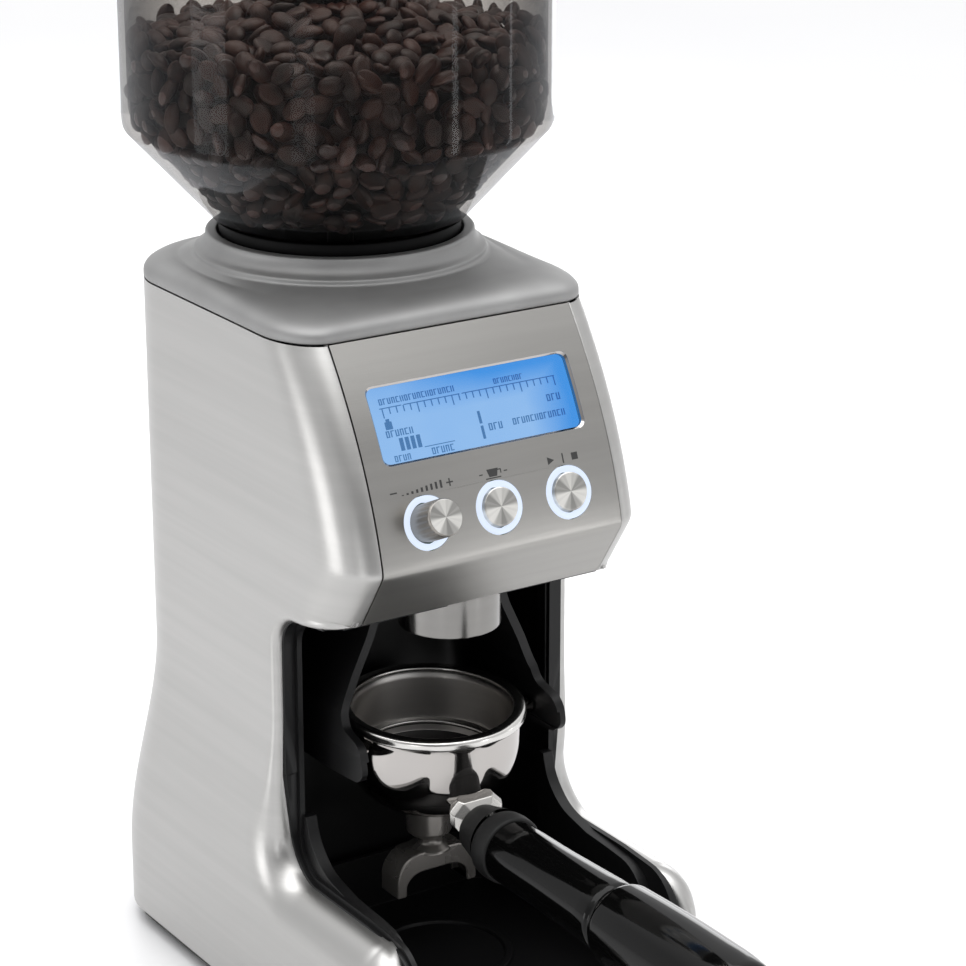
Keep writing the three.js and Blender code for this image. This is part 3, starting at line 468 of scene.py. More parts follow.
STEEL = brushed("steel_body", (0.455, 0.451, 0.441), 0.34)
FASCIA = brushed("steel_panel", (0.35, 0.343, 0.329), 0.3)
OUTLET = brushed("steel_outlet", (0.25, 0.245, 0.236), 0.22)
# turned steel whose colour carries a painted fan of highlight and shade
SPUN_PAINTED_FAN = spun_with_painted_fan("steel_spun_painted_fan", (0.74, 0.73, 0.7), 0.42)
KNOB = polished("knob_side", (0.3, 0.285, 0.265), 0.42)
SATIN = plastic("satin_silver", (0.34, 0.34, 0.338), 0.55, 1500, 0.1)
SATIN.node_tree.nodes["Principled BSDF"].inputs["Metallic"].default_value = 0.75
BURR = brushed("steel_burr", (0.5, 0.5, 0.51), 0.35)
MOTOR = brushed("steel_motor", (0.42, 0.42, 0.44), 0.42)
BASKET = brushed("steel_basket", (0.62, 0.6, 0.58), 0.34)
CHROME = polished("chrome", (0.46, 0.44, 0.425), 0.06)
RIM = polished("rim_steel", (0.66, 0.65, 0.63), 0.2)
BLOCK = polished("cast_neck", (0.5, 0.49, 0.47), 0.2)
HORN = polished("cast_steel", (0.22, 0.208, 0.195), 0.28, 0.7)
BLACK = plastic("black_plastic", (0.004, 0.004, 0.0044), 0.42, shine=0.3)
GREY = plastic("housing_grey", (0.12, 0.12, 0.125), 0.5)
DIAL = plastic("dial_grey", (0.05, 0.05, 0.052), 0.38)
NYLON = plastic("nylon", (0.75, 0.72, 0.62), 0.45)
BOARD = plastic("circuit_green", (0.03, 0.16, 0.07), 0.35, 300, 0.3)
MATT = plastic("matt_black", (0.003, 0.003, 0.0032), 0.55, shine=0.1)
RUBBER = plastic("rubber_black", (0.008, 0.008, 0.008), 0.6, 600, 0.3, 0.3)
GLOSS = plastic("gloss_black", (0.002, 0.002, 0.002), 0.07, 60, 0.02, 0.2)
SMOKED = smoked("smoked_clear", (0.78, 0.765, 0.75), (0.42, 0.41, 0.4))
WINDOW = smoked("window_clear", (0.96, 0.98, 1.0), (0.9, 0.93, 0.96), 0.3)
INK = plastic("print_ink", (0.03, 0.03, 0.03), 0.5)
RING = lit("ring_light", (0.74, 0.84, 1.0), 1.02)


def screen_glow(name, middle, rim):
    """The screen's backlight: deeper blue towards the right edge and the upper right."""
    n = Nodes(name)
    place = n.split(n.place)
    right = n.between(place["X"], 0.0, 1.0, AXIS.x + 0.022, AXIS.x + SCREEN_HALF * MM)
    top = n.between(place["Z"], 0.0, 1.0, 0.241, 0.2525)
    upper = n.math("MULTIPLY", top, n.between(place["X"], 0.25, 1.0, AXIS.x - 0.03, AXIS.x + 0.005))
    cloud = n.math("MULTIPLY_ADD", n.noise(45, 2), 0.3, n.math("MAXIMUM", right, upper))
    n.link(n.ramp(cloud, (0.12, middle), (1.1, rim)), n.shader.inputs["Emission Color"])
    n.set(Base_Color=(0, 0, 0, 1), Emission_Strength=1.0, Roughness=0.4, Specular_IOR_Level=0.1)
    return n.material


SCREEN = screen_glow("screen_blue", (0.3, 0.52, 0.84), (0.06, 0.3, 0.76))
SEGMENT = screen_glow("screen_segment", (0.075, 0.2, 0.42), (0.015, 0.11, 0.42))

# ------------------------------------------------------------------ the steel shell
def flare(z):
    t = min(max((FLARE_HIGH - z) / (FLARE_HIGH - FLARE_LOW), 0), 1)
    return t * t * (3 - 2 * t)


def half_at(z):
    return HALF + FLARE_SIDE * flare(z)


def back_at(z):
    return BACK + FLARE_BACK * flare(z)


def mouth_at(z):
    """The half width at which the shell's rolled edge ends: tight up the column, deep along the arms."""
    t = min(max((z - 62) / 33, 0), 1)
    return MOUTH_HALF + 3 * t * t * (3 - 2 * t)


def panel_bow(share):
    """The bulge at a share of the way down the upper panel."""
    return PANEL_BOW * 4 * share * (1 - share) if 0 < share < 1 else 0.0


def front_at(z):
    """The front's y at a height: the toe, or the panel's two planes with a small bend radius."""
    if z < ARM_TOP + 1:
        return TOE_Y
    if z < PANEL_LOW[1]:
        return TOE_Y + (PANEL_LOW[0] - TOE_Y) * (z - ARM_TOP - 1) / (PANEL_LOW[1] - ARM_TOP - 1)
    fold_y, fold_z = PANEL_FOLD
    upper = fold_y + (z - fold_z) * (PANEL_TOP[0] - fold_y) / (PANEL_TOP[1] - fold_z)
    lower = fold_y + (fold_z - z) * (PANEL_LOW[0] - fold_y) / (fold_z - PANEL_LOW[1])
    bulge = panel_bow((PANEL_TOP[1] - z) / (PANEL_TOP[1] - fold_z)) / slope.z
    return (upper + lower) / 2 + math.hypot((upper - lower) / 2, 0.6) - bulge


def wrap_point(eta, z, depth=0.0):
    """The shell's outside, unrolled. eta is y along the side, and runs on round both corners.

    depth is how far the point lies inside the surface.
    """
    half, back, front = half_at(z), back_at(z), front_at(z)
    rear_start, front_start = back - BACK_CORNER, front + FRONT_DEPTH
    if eta > rear_start:
        run = eta - rear_start
        a = min(run / BACK_CORNER, math.pi / 2)
        x = half - BACK_CORNER * (1 - math.cos(a)) - max(run - BACK_CORNER * math.pi / 2, 0)
        y = rear_start + BACK_CORNER * math.sin(a)
        out = (math.cos(a), math.sin(a))
    elif eta < front_start:
        run = front_start - eta
        a = min(run / FRONT_SPAN, 1) * math.pi / 2
        x = half - FRONT_CORNER * (1 - math.cos(a)) - max(run - FRONT_SPAN, 0)
        y = front_start - FRONT_DEPTH * math.sin(a)
        out = (math.cos(a) * FRONT_DEPTH, -math.sin(a) * FRONT_CORNER)
        size = math.hypot(*out)
        out = (out[0] / size, out[1] / size)
    else:
        x, y, out = half, eta, (1, 0)
    return (x - out[0] * depth, y - out[1] * depth, z)


def eta_at(x, z):
    """The unrolled front coordinate where the front corner reaches x."""
    a = math.acos((x - half_at(z) + FRONT_CORNER) / FRONT_CORNER)
    return front_at(z) + FRONT_DEPTH - a * 2 / math.pi * FRONT_SPAN


def eta_back(z):
    return back_at(z) - BACK_CORNER + BACK_CORNER * math.pi / 2 + half_at(z) - BACK_CORNER


def shell_edge():
    """The bay's edge and the panel seam as (eta, z, roll, joined z) from the toe's foot to the top.

    roll is how deep the steel turns in at that point. joined z is where the same column of quads
    meets the vertical line behind the bay; up to split it is where it meets the lower edge, as a
    share of its length.
    """
    toe = eta_at(MOUTH_HALF, 30)
    edge = []

    def stretch(points, target_a, target_b, roll=None):
        for i, (eta, z) in enumerate(points):
            t = i / (len(points) - 1)
            deep = half_at(z) - mouth_at(z) if roll is None else roll[0] + (roll[1] - roll[0]) * t
            edge.append((eta, z, deep, target_a + (target_b - target_a) * t))

    def line(a, b, steps):
        return [tuple(np.array(a) + (np.array(b) - np.array(a)) * t) for t in np.linspace(0, 1, steps + 1)]

    full = half_at(50) - MOUTH_HALF
    slim = HALF - mouth_at(165)
    stretch(line((toe, SKIRT_Z), (toe, 34), 10), 0.0, 0.14, (3, 4))
    stretch(arc(-126, 36, -126 - toe, 180, 90, 26, ry=ARM_TOP - 36)[1:], 0.15, 0.42, (4, full))
    stretch(line((-125, ARM_TOP), (-75, ARM_TOP), 18), 0.43, 0.75)
    split = len(edge)
    stretch(arc(-74, ARM_TOP + 16, 16, 270, 360, 16), SKIRT_Z, 75)
    stretch(line((-58, 77), (-58, 149), 26), 77, 149)
    stretch(arc(-72, 151, 14, 0, 90, 14), 150, 171)
    stretch(line((-73.5, 165.2), (-97, 168.6), 12), 171.6, 175.6, (slim, 2.2))
    stretch(line((-98.5, 168.9), (eta_at(PANEL_HALF, 170) + 0.4, 169.7), 4), 176, 177, (1.9, 0.7))
    low, high = 170.3, 189.2  # over this stretch the rows catch up with the heights
    seam = [np.linspace(low, 188.5, 10), np.linspace(high, 195.8, 14), np.linspace(198, BODY_TOP, 24)]
    for z in np.concatenate(seam):
        joined = z if z > 189 else 177.3 + (z - low) * (high - 177.3) / (high - low)
        edge.append((eta_at(PANEL_HALF, z), z, 0.5, joined))
    return edge, split


def make_shell():
    edge, split = shell_edge()
    flat = np.array([(e[0], e[1]) for e in edge])
    along = np.gradient(flat, axis=0)
    along /= np.linalg.norm(along, axis=1)[:, None]
    inward = np.stack([along[:, 1], -along[:, 0]], 1)  # away from the bay, into the steel
    line_eta = -36.0
    roll_angles = np.linspace(math.pi / 2, 0, 13)
    spread = np.linspace(0, 1, 34)[1:] ** 1.25
    columns = []
    for (_, _, roll, target), here, n in zip(edge, flat, inward):
        width = min(roll * (1 + 0.8 * min(max(roll - 4, 0) / 6, 1)), 15.5)
        column = [wrap_point(*here, depth=roll + 1.5)]
        for a in roll_angles:
            spot = here + n * width * (1 - math.sin(a))
            column.append(wrap_point(*spot, depth=roll * (1 - math.cos(a))))
        start = here + n * width
        if len(columns) < split:
            end = np.array((-118 + (line_eta + 118) * target / 0.75, SKIRT_Z))
        else:
            end = np.array((line_eta, target))
        column += [wrap_point(*(start + (end - start) * t)) for t in spread]
        columns.append(column)
    rows = len(columns[0])
    points = [p for column in columns for p in column]
    faces = grid_faces(len(columns), rows)
    # behind the joining line: straight rows to the middle of the back
    share = np.linspace(0, 1, 46)
    heights = [e[3] for e in edge[split:]]
    rear = [[wrap_point(line_eta + (eta_back(z) - line_eta) * t, z) for t in share] for z in heights]
    base = len(points)
    points += [p for row in rear for p in row]
    faces += [tuple(base + i for i in f) for f in grid_faces(len(rear), len(share))]
    count = len(points)
    points += [(-x, y, z) for x, y, z in points]
    faces += [tuple(count + i for i in reversed(f)) for f in faces]
    shell = make("steel_shell", "housing", points, faces, STEEL, "brushed_steel", ["outer_shell"], 60)
    modifier(shell, "SOLIDIFY", thickness=1.1 * MM, offset=-1)
    return bake(shell, 50)


make_shell()

# ------------------------------------------------------------------ the top cover
def outline_radius():
    """The head's plan outline as a function of the angle about the burr axis."""
    front = PANEL_TOP[0] + FRONT_DEPTH
    corners = (
        arc(HALF - BACK_CORNER, BACK - BACK_CORNER, BACK_CORNER, 0, 90, 40)
        + arc(-HALF + BACK_CORNER, BACK - BACK_CORNER, BACK_CORNER, 90, 180, 40)
        + arc(-HALF + FRONT_CORNER, front, FRONT_CORNER, 180, 270, 40, FRONT_DEPTH)
        + arc(HALF - FRONT_CORNER, front, FRONT_CORNER, 270, 360, 40, FRONT_DEPTH)
    )
    points = []
    for (x0, y0), (x1, y1) in zip(corners, corners[1:] + corners[:1]):
        points += [(x0 + (x1 - x0) * t, y0 + (y1 - y0) * t) for t in np.linspace(0, 1, 30, endpoint=False)]
    x, y = np.array(points).T
    angle = np.mod(np.arctan2(y, x), 2 * math.pi)
    order = np.argsort(angle)
    radius = np.hypot(x, y)[order]
    return lambda a: np.interp(a, angle[order], radius, period=2 * math.pi)


def make_cover():
    radius_at = outline_radius()
    sides = 288
    angles = np.linspace(0, 2 * math.pi, sides, endpoint=False)
    edge = radius_at(angles)
    level = np.ones(sides)
    foot = 55.6
    room = edge - foot
    shoulder = 0.78 * room / np.sqrt(1 + (room / 34) ** 2)
    lip_z, shoulder_z, foot_z = 270.6, 277.2, 279.0
    rings = [(edge - 2.5, 268.7 * level), (edge - 0.5, 268.35 * level), (edge, 268.9 * level)]
    for a in np.linspace(0, math.pi / 2, 13):
        height = lip_z + (shoulder_z - lip_z) * math.sin(a)
        rings.append((edge - shoulder * (1 - math.cos(a)), height * level))
    inner = edge - shoulder
    for t in np.linspace(0, 1, 9)[1:]:
        rings.append((inner + (foot - inner) * t, (shoulder_z + (foot_z - shoulder_z) * t) * level))
    wall = smooth_profile(
        [(foot, foot_z), (55.0, 279.7), (54.8, 281.0), (51.9, 282.6), (COLLAR_RADIUS, 285.4),
         (COLLAR_RADIUS, COLLAR_TOP), (COLLAR_BORE, COLLAR_TOP), (COLLAR_BORE, 271)],
        [0.5, 0.9, 2.2, 2.4, 1.3, 1.0], 5,
    )
    rings += [(r * level, z * level) for r, z in wall[1:]]
    points = [
        (r * math.cos(a), r * math.sin(a), z)
        for radii, heights in rings
        for r, z, a in zip(radii, heights, angles)
    ]
    faces = grid_faces(len(rings), sides, wrap=True)
    make("top_cover_skin", "housing", points, faces, SATIN, "satin_silver", ["top_cover"], 70)


make_cover()

# ------------------------------------------------------------------ the control panel
def panel_point(x, s, lift):
    """A point lifted off the straight line between the upper panel's ends, s down from its top edge."""
    return Vector((x, *PANEL_TOP)) - slope * s + panel_out * lift


def on_panel(x, s, height):
    """A point on the panel: x across, s down from its top edge, height out of its bulging face."""
    lift = panel_bow(s / panel_length)
    for _ in range(4):
        spot = panel_point(x, s, lift)
        lift += (spot.y - front_at(spot.z)) / slope.z
    return tuple(panel_point(x, s, lift + height))


def on_dial(x, s, height):
    """The same for the dial, which stays square to its own axis."""
    return tuple(panel_point(x, s, height + panel_bow(CONTROL_ROW / panel_length)))


def dense(outline, step=2.0):
    """Adds points to a closed outline, so that it can follow a bent surface."""
    points = []
    for (u0, v0), (u1, v1) in zip(outline, outline[1:] + outline[:1]):
        steps = max(int(math.hypot(u1 - u0, v1 - v0) / step), 1)
        points += [(u0 + (u1 - u0) * k / steps, v0 + (v1 - v0) * k / steps) for k in range(steps)]
    return points


def panel_disc(profile, x, sides=64):
    """A (radius, height) profile turned about a control's axis."""
    points = []
    for r, h in profile:
        radius = max(r, 1e-4)
        for k in range(sides):
            a = 2 * math.pi * k / sides
            points.append(on_panel(x + radius * math.cos(a), CONTROL_ROW + radius * math.sin(a), h))
    return points, grid_faces(len(profile), sides, wrap=True)


def make_panel():
    half = PANEL_HALF - 0.35
    heights = [np.linspace(PANEL_TOP[1], 197, 36), np.linspace(196, 189, 15), [183, 177, PANEL_LOW[1]]]
    bend = [(front_at(z), float(z)) for z in np.concatenate(heights)]
    inner = [(y + 1.4, z) for y, z in reversed(bend)]
    points, faces = prism(bend + inner, -half, half, in_side_view)
    plate = make("panel_plate", "housing", points, faces, FASCIA, "brushed_panel", ["front_panel"], 30)
    holes = [rounded_rect(SCREEN_HALF, SCREEN_TOP, SCREEN_LOW, 3.0)]
    holes += [arc(x, CONTROL_ROW, RING_RADIUS + 0.25, 0, 360, 64)[:-1] for x in CONTROL_X]
    cut(plate, *(prism(hole, -6, 6, on_panel) for hole in holes))
    round_edges(plate, 0.35, 2, 40)


make_panel()


def screen_plate(grow, low, high):
    """A plate of the opening's shape, grown by a distance on every side, between two heights."""
    outline = rounded_rect(SCREEN_HALF + grow, SCREEN_TOP - grow, SCREEN_LOW + grow, 2.4)
    return prism(dense(outline), low, high, on_panel)


def make_screen():
    """A bright bevel round the window, and a lit plate in a dark case behind it."""
    outer = dense(rounded_rect(SCREEN_HALF + 0.1, SCREEN_TOP - 0.1, SCREEN_LOW + 0.1, 3.0, 8))
    middle = (SCREEN_TOP + SCREEN_LOW) / 2
    inner = [(u * (SCREEN_HALF - 0.8) / SCREEN_HALF, middle + (v - middle) * 0.945) for u, v in outer]
    loops = [(outer, -1.6), (outer, -0.05), (inner, -0.9), (inner, -2.6)]
    points = [on_panel(u, v, h) for loop, h in loops for u, v in loop]
    faces = grid_faces(4, len(outer), wrap=True)
    make("screen_bezel", "housing", points, faces, CHROME, "window_clear", (), 30)
    window = screen_plate(-0.5, -1.5, -1.1)
    make("screen_window", "housing", *window, WINDOW, "window_clear", ["lcd_window"])
    plate = screen_plate(-0.3, -3.1, -2.5)
    make("screen_light", "housing", *plate, SCREEN, "screen_blue", ["lcd_module"])
    case = screen_plate(0.5, -6.5, -3.2)
    make("screen_case", "housing", *case, BLACK, "black_plastic")


make_screen()


def bars(low, high, *spots):
    """Flat marks on the panel, each from u0 to u1 across and v0 to v1 down."""
    outlines = [[(u0, v0), (u1, v0), (u1, v1), (u0, v1)] for u0, u1, v0, v1 in spots]
    return [prism(outline, low, high, on_panel) for outline in outlines]


def row_of_marks(start, end, middle, tall):
    """A row of small generic marks, in place of a word: boxes and strokes that mean nothing."""
    pitch, stroke = 0.8 * tall, 0.15 * tall
    spots = []
    top, foot = middle - tall / 2, middle + tall / 2
    for k in range(int((end - start) / pitch)):
        left = start + pitch * k
        right = left + 0.55 * tall
        spots.append((left, left + stroke, top, foot))
        if k % 3 != 1:
            spots.append((right - stroke, right, top, foot))
        if k % 3 != 2:
            spots.append((left, right, top, top + stroke))
        if k % 2 == 0:
            spots.append((left, right, foot - stroke, foot))
    return spots


def make_segments():
    """The screen's dark marks: a scale, a pointer, a level of four blocks and word-like rows."""
    spots = [(a, b, 25.05, 25.4) for a, b in ((-37.5, -28.5), (-27.5, -4.2), (-3.2, 36.5))]
    for k in range(26):
        x = -36.5 + 72.6 * k / 25
        spots.append((x - 0.16, x + 0.16, 25.3, 27.6 if k % 5 else 28.8))
    spots += [(-37.0, -34.2, 30.2, 33.0), (-36.3, -34.9, 29.2, 30.2)]
    spots += [(-33.0 + 2.35 * k, -31.5 + 2.35 * k, 36.6, 41.2) for k in range(4)]
    spots += [(0.9, 1.9, 32.6, 37.2), (0.9, 1.9, 38.0, 42.8), (-23.5, -11, 41.2, 41.5)]
    rows = (
        (-37, -4, 22.9, 2.2), (11, 24, 23.2, 2.0), (31, 38, 32.8, 2.6), (-37.5, -25.5, 34.6, 2.4),
        (4.2, 11, 39.0, 2.6), (14.5, 38, 38.8, 2.4), (-36.5, -29, 43.6, 2.2), (-21, -10.5, 43.4, 2.4),
    )
    for row in rows:
        spots += row_of_marks(*row)
    make("screen_segments", "housing", *merge(*bars(-2.7, -2.42, *spots)), SEGMENT, "screen_blue")


make_segments()


def make_labels():
    """Printed marks over the controls: less to more, a cup, and start or stop."""
    low, high = -0.25, 0.06
    row = 55.4
    dial, amount, start = CONTROL_X
    spots = [(dial - 13, dial - 10.2, row - 0.25, row + 0.25)]
    for k in range(9):
        x = dial - 8 + 2 * k
        spots.append((x - 0.42, x + 0.42, row + 1.4 - 2.8 * (k + 1) / 9, row + 1.4))
    strokes = (
        (dial, 10.2, 13, -0.25, 0.25), (dial, 11.35, 11.85, -1.4, 1.4), (amount, -3.4, 3.0, 1.6, 2.0),
        (amount, 2.0, 3.4, -1.1, -0.7), (amount, 3.0, 3.4, -1.1, 0.5), (amount, -5.9, -4.5, -0.2, 0.2),
        (amount, 4.5, 5.9, -0.2, 0.2), (start, -0.25, 0.25, -1.8, 1.8), (start, 3.8, 6.4, -1.3, 1.3),
    )
    spots += [(x + u0, x + u1, row + v0, row + v1) for x, u0, u1, v0, v1 in strokes]
    cup = [(amount + u, row + v) for u, v in ((-2.6, -1.5), (2.2, -1.5), (1.4, 1.3), (-1.8, 1.3))]
    play = [(start - 6.6, row - 1.4), (start - 6.6, row + 1.4), (start - 3.8, row)]
    marks = bars(low, high, *spots) + [prism(shape, low, high, on_panel) for shape in (cup, play)]
    make("panel_marks", "housing", *merge(*marks), INK, "black_plastic")


make_labels()


def make_rings_and_caps():
    """A lit ring round each control, and the turned metal caps of the two buttons, which carry a painted fan
    of highlight and shade.
    """
    bore = BUTTON_RADIUS + 0.35
    ring = smooth_profile([(bore, -3), (bore, 0.45), (RING_RADIUS, 0.45), (RING_RADIUS, -3)], 0.7, 3)
    for x, node in zip(CONTROL_X, ("dial_light_ring", "amount_light_ring", "start_light_ring")):
        make(node + "_lens", "housing", *panel_disc(ring, x), RING, "ring_light", [node])
    edge = BUTTON_RADIUS
    cap = smooth_profile(
        [(0, -6), (edge, -6), (edge, 1.3), (edge - 0.5, 1.5), (edge - 0.9, 1.5), (0.0, 1.5)], 0.3, 3
    )
    for x, name in zip(CONTROL_X[1:], ("amount", "start")):
        key, node = name + "_key", name + "_button"
        # each cap's colour carries the painted fan of highlight and shade
        turned_map(make(node + "_cap", key, *panel_disc(cap, x), SPUN_PAINTED_FAN, "spun_steel", [node], 40))


make_rings_and_caps()


def make_dial():
    sides, flutes = 320, 20
    profile = smooth_profile(
        [(6.0, -8), (6.9, -0.5), (6.9, 12.4), (6.4, 13.2), (6.0, 13.2), (0, 13.2)], 0.4, 3
    )
    points = []
    for r, h in profile:
        depth = 0.14 if 0 < h < 12.2 and r > 6.8 else 0
        for k in range(sides):
            a = 2 * math.pi * k / sides
            radius = max(r - depth * max(0, math.cos(flutes * a)), 1e-4)
            u, v = radius * math.cos(a), radius * math.sin(a)
            points.append(on_dial(CONTROL_X[0] + u, CONTROL_ROW + v, h))
    faces = grid_faces(len(profile), sides, wrap=True)
    knob = make("amount_knob_fluted", "amount_knob", points, faces, KNOB, "spun_steel", ["amount_dial"], 50)
    turned_map(knob)
    # the knob's flat top takes the turned steel with its painted fan of highlight and shade
    knob.data.materials.append(SPUN_PAINTED_FAN)
    for face in knob.data.polygons:
        if face.normal.dot(panel_out) > 0.9:
            face.material_index = 1


make_dial()

# ------------------------------------------------------------------ the hopper
def make_hopper():
    wall = 2.6
    outer = smooth_profile(
        [(NECK_RADIUS - 2.6, NECK_TOP + 0.3), (NECK_RADIUS + 1.6, NECK_TOP + 0.3),
         (HOPPER_RADIUS - 0.4, RIM_Z - 1), (HOPPER_RADIUS, RIM_Z + 1.5), (HOPPER_RADIUS, HOPPER_TOP)],
        [0.5, 1.2, 1.2], 5,
    )
    inner = smooth_profile(
        [(HOPPER_RADIUS, HOPPER_TOP), (HOPPER_RADIUS - wall, HOPPER_TOP), (HOPPER_RADIUS - wall, RIM_Z + 2),
         (NECK_RADIUS - 0.6, NECK_TOP + 3), (NECK_RADIUS - 2.6, NECK_TOP + 0.3)],
        [0.5, 6, 2], 6,
    )
    lathe("hopper_wall", "hopper", outer + inner[1:], SMOKED, "smoked_clear", ["hopper_shell"], 160)
    skin = NECK_RADIUS + 0.4  # just outside the CAD's neck, which stays behind it
    neck = smooth_profile(
        [(22, 261.6), (skin - 0.5, 261.6), (skin, 283), (skin - 1.2, 284.5), (skin - 1.2, 286),
         (skin, 287.5), (skin, NECK_TOP), (skin - 3, NECK_TOP), (skin - 3, 266), (22, 266), (22, 261.6)],
        0.6, 3,
    )
    lathe("hopper_neck", "hopper", neck, MATT, "black_plastic", (), 128)


make_hopper()


def bean_shape():
    """One coffee bean: a half ellipsoid with a flatter creased face, in millimetres."""
    rows, sides = 9, 12
    points = []
    length, width, thick = 5.3, 3.9, 3.0
    for i in range(rows):
        t = math.pi * i / (rows - 1)
        for k in range(sides):
            a = 2 * math.pi * k / sides
            y = width * math.sin(t) * math.cos(a)
            z = thick * math.sin(t) * math.sin(a)
            if z < 0:
                z *= 0.55
            if z < -0.2 and abs(y) < 0.9:  # the crease runs the length of the flat side
                z += 0.9 - abs(y)
            points.append([length * math.cos(t), y, z])
    return np.array(points), grid_faces(rows, sides, wrap=True)


def hopper_inside(z):
    """The bean space's radius at a height."""
    if z > RIM_Z + 2:
        return HOPPER_RADIUS - 3.4
    t = (z - NECK_TOP - 3) / (RIM_Z - 1 - NECK_TOP)
    return NECK_RADIUS - 1.6 + t * (HOPPER_RADIUS - 3.6 - NECK_RADIUS + 1.6)


def bean_level(r):
    """The heap's top, which is higher in the middle."""
    return 360 + 16 * math.exp(-((r / 44) ** 2))


def make_beans():
    rng = random.Random(11)
    shape, shape_faces = bean_shape()
    points, faces = [], []
    cell = {}

    def drop(place, out):
        """Adds one bean; out is the normal of what it lies on."""
        turn = Matrix.Rotation(rng.uniform(0, 2 * math.pi), 3, "Z")
        tip = Matrix.Rotation(rng.gauss(0, 0.5), 3, "X") @ Matrix.Rotation(rng.gauss(0, 0.45), 3, "Y")
        flip = Matrix.Rotation(math.pi if rng.random() < 0.5 else 0, 3, "X")
        lie = Vector((0, 0, 1)).rotation_difference(Vector(out)).to_matrix()
        size = rng.uniform(0.84, 1.1)
        spin = lie @ turn @ tip @ flip
        moved = (np.array(spin) @ (shape * size).T).T + np.array(place)
        base = len(points)
        points.extend(map(tuple, moved))
        faces.extend(tuple(base + i for i in f) for f in shape_faces)

    def free(place, gap):
        """Notes a place and says whether it is at least gap from all the others."""
        x, y, z = (int(c // 9) for c in place)
        for near in itertools.product((x - 1, x, x + 1), (y - 1, y, y + 1), (z - 1, z, z + 1)):
            if any(math.dist(place, other) < gap for other in cell.get(near, ())):
                return False
        cell.setdefault((x, y, z), []).append(place)
        return True

    def scatter(tries, gap, sample):
        for _ in range(tries):
            place, out = sample()
            if place and free(place, gap):
                drop(place, out)

    def wall_spot(back=0.0):
        z = rng.uniform(NECK_TOP + 6, 362)
        a = rng.uniform(0, 2 * math.pi)
        r = hopper_inside(z) - 2.6 - back
        if z > bean_level(r):
            return None, None
        out = (math.cos(a), math.sin(a), 0 if z > RIM_Z else -0.9)
        return (r * math.cos(a), r * math.sin(a), z), out

    def heap_spot(back=0.0):
        a = rng.uniform(0, 2 * math.pi)
        r = math.sqrt(rng.random()) * (hopper_inside(360) - 5)
        if r < 9:
            return None, None
        return (r * math.cos(a), r * math.sin(a), bean_level(r) - back - 1.5), (0, 0, 1)

    scatter(9000, 6.6, wall_spot)
    scatter(3000, 6.9, heap_spot)
    scatter(6000, 6.4, lambda: wall_spot(5.5))
    scatter(2000, 6.6, lambda: heap_spot(5.0))
    make("bean_heap", "hopper", points, faces, BEAN, "bean_brown", ["coffee_beans"], 180)
    # a dark solid inside the heap that stands in for the hidden beans; its darker copy of the bean colour is
    # painted shade
    core = [
        (6, NECK_TOP + 2), (NECK_RADIUS - 10, NECK_TOP + 2), (HOPPER_RADIUS - 15, RIM_Z + 4),
        (HOPPER_RADIUS - 14, 351), (48, 356), (20, 361), (6, 362), (6, NECK_TOP + 2),
    ]
    lathe("bean_core_painted_shade", "hopper", core, BEAN_PAINTED_SHADE, "bean_brown", (), 48)


def bean_material(name, dark, light):
    n = Nodes(name)
    n.colour(n.ramp(n.noise(90, 4), (0.35, dark), (0.7, light)))
    n.rough(n.noise(200, 3), 0.3, 0.5)
    n.bump(n.noise(700, 4), 0.35, 0.0003)
    return n.material


BEAN = bean_material("roasted_bean", (0.016, 0.006, 0.0045), (0.066, 0.024, 0.016))
# a darker copy of the bean colour: painted shade for the heap's inner solid
BEAN_PAINTED_SHADE = bean_material("bean_shadow", (0.008, 0.003, 0.002), (0.02, 0.008, 0.005))
make_beans()

lid = smooth_profile(
    [(0, 392), (72, 392), (72, 387), (73.6, 387), (73.6, 391.4), (80, 391.4), (80, 396.5), (77, 398),
     (60, 397.6), (52, 395.4), (20, 395.2), (16.5, 398.6), (0, 399)], 1.0, 4,
)
lathe("hopper_lid_cover", "lid", lid, SMOKED, "smoked_lid", ["hopper_lid"], 128)

# ------------------------------------------------------------------ the bay
def bay_path(inset, front=-143.0):
    """The bay's edge in the side view, as (y, z), set in by inset towards the bay."""
    low, top, column = ARM_TOP + inset, BAY_TOP - inset, COLUMN_FRONT - inset
    r_low, r_top = 16 - inset, 14 - inset
    path = [(front, 40 + inset)]
    path += arc(-126, ARM_TOP - 18 + inset, 17, 180, 90, 8)
    path += [(-110, low), (-92, low)]
    path += arc(column - r_low, low + r_low, max(r_low, 1), 270, 360, 12)
    path += [(column, 100), (column, 125)]
    path += arc(column - r_top, top - r_top, max(r_top, 1), 0, 90, 12)
    path += [(-88, BAY_TOP + 2.4 - inset)]
    return path


def strip(path, side, inner, thick):
    """A band along a side-view path, from the half width inner out to the shell's edge."""
    line = np.array(path)
    along = np.gradient(line, axis=0)
    along /= np.linalg.norm(along, axis=1)[:, None]
    behind = np.stack([along[:, 1], -along[:, 0]], 1)
    points = []
    for (y, z), (by, bz) in zip(line, behind):
        outer = mouth_at(z) - 0.4
        for x, d in ((inner, 0), (outer, 0), (outer, thick), (inner, thick)):
            points.append((side * x, y + by * d, z + bz * d))
    n = len(line)
    faces = grid_faces(n, 4, wrap=True)
    faces += [(0, 1, 2, 3), tuple(4 * (n - 1) + i for i in (3, 2, 1, 0))]
    return points, faces


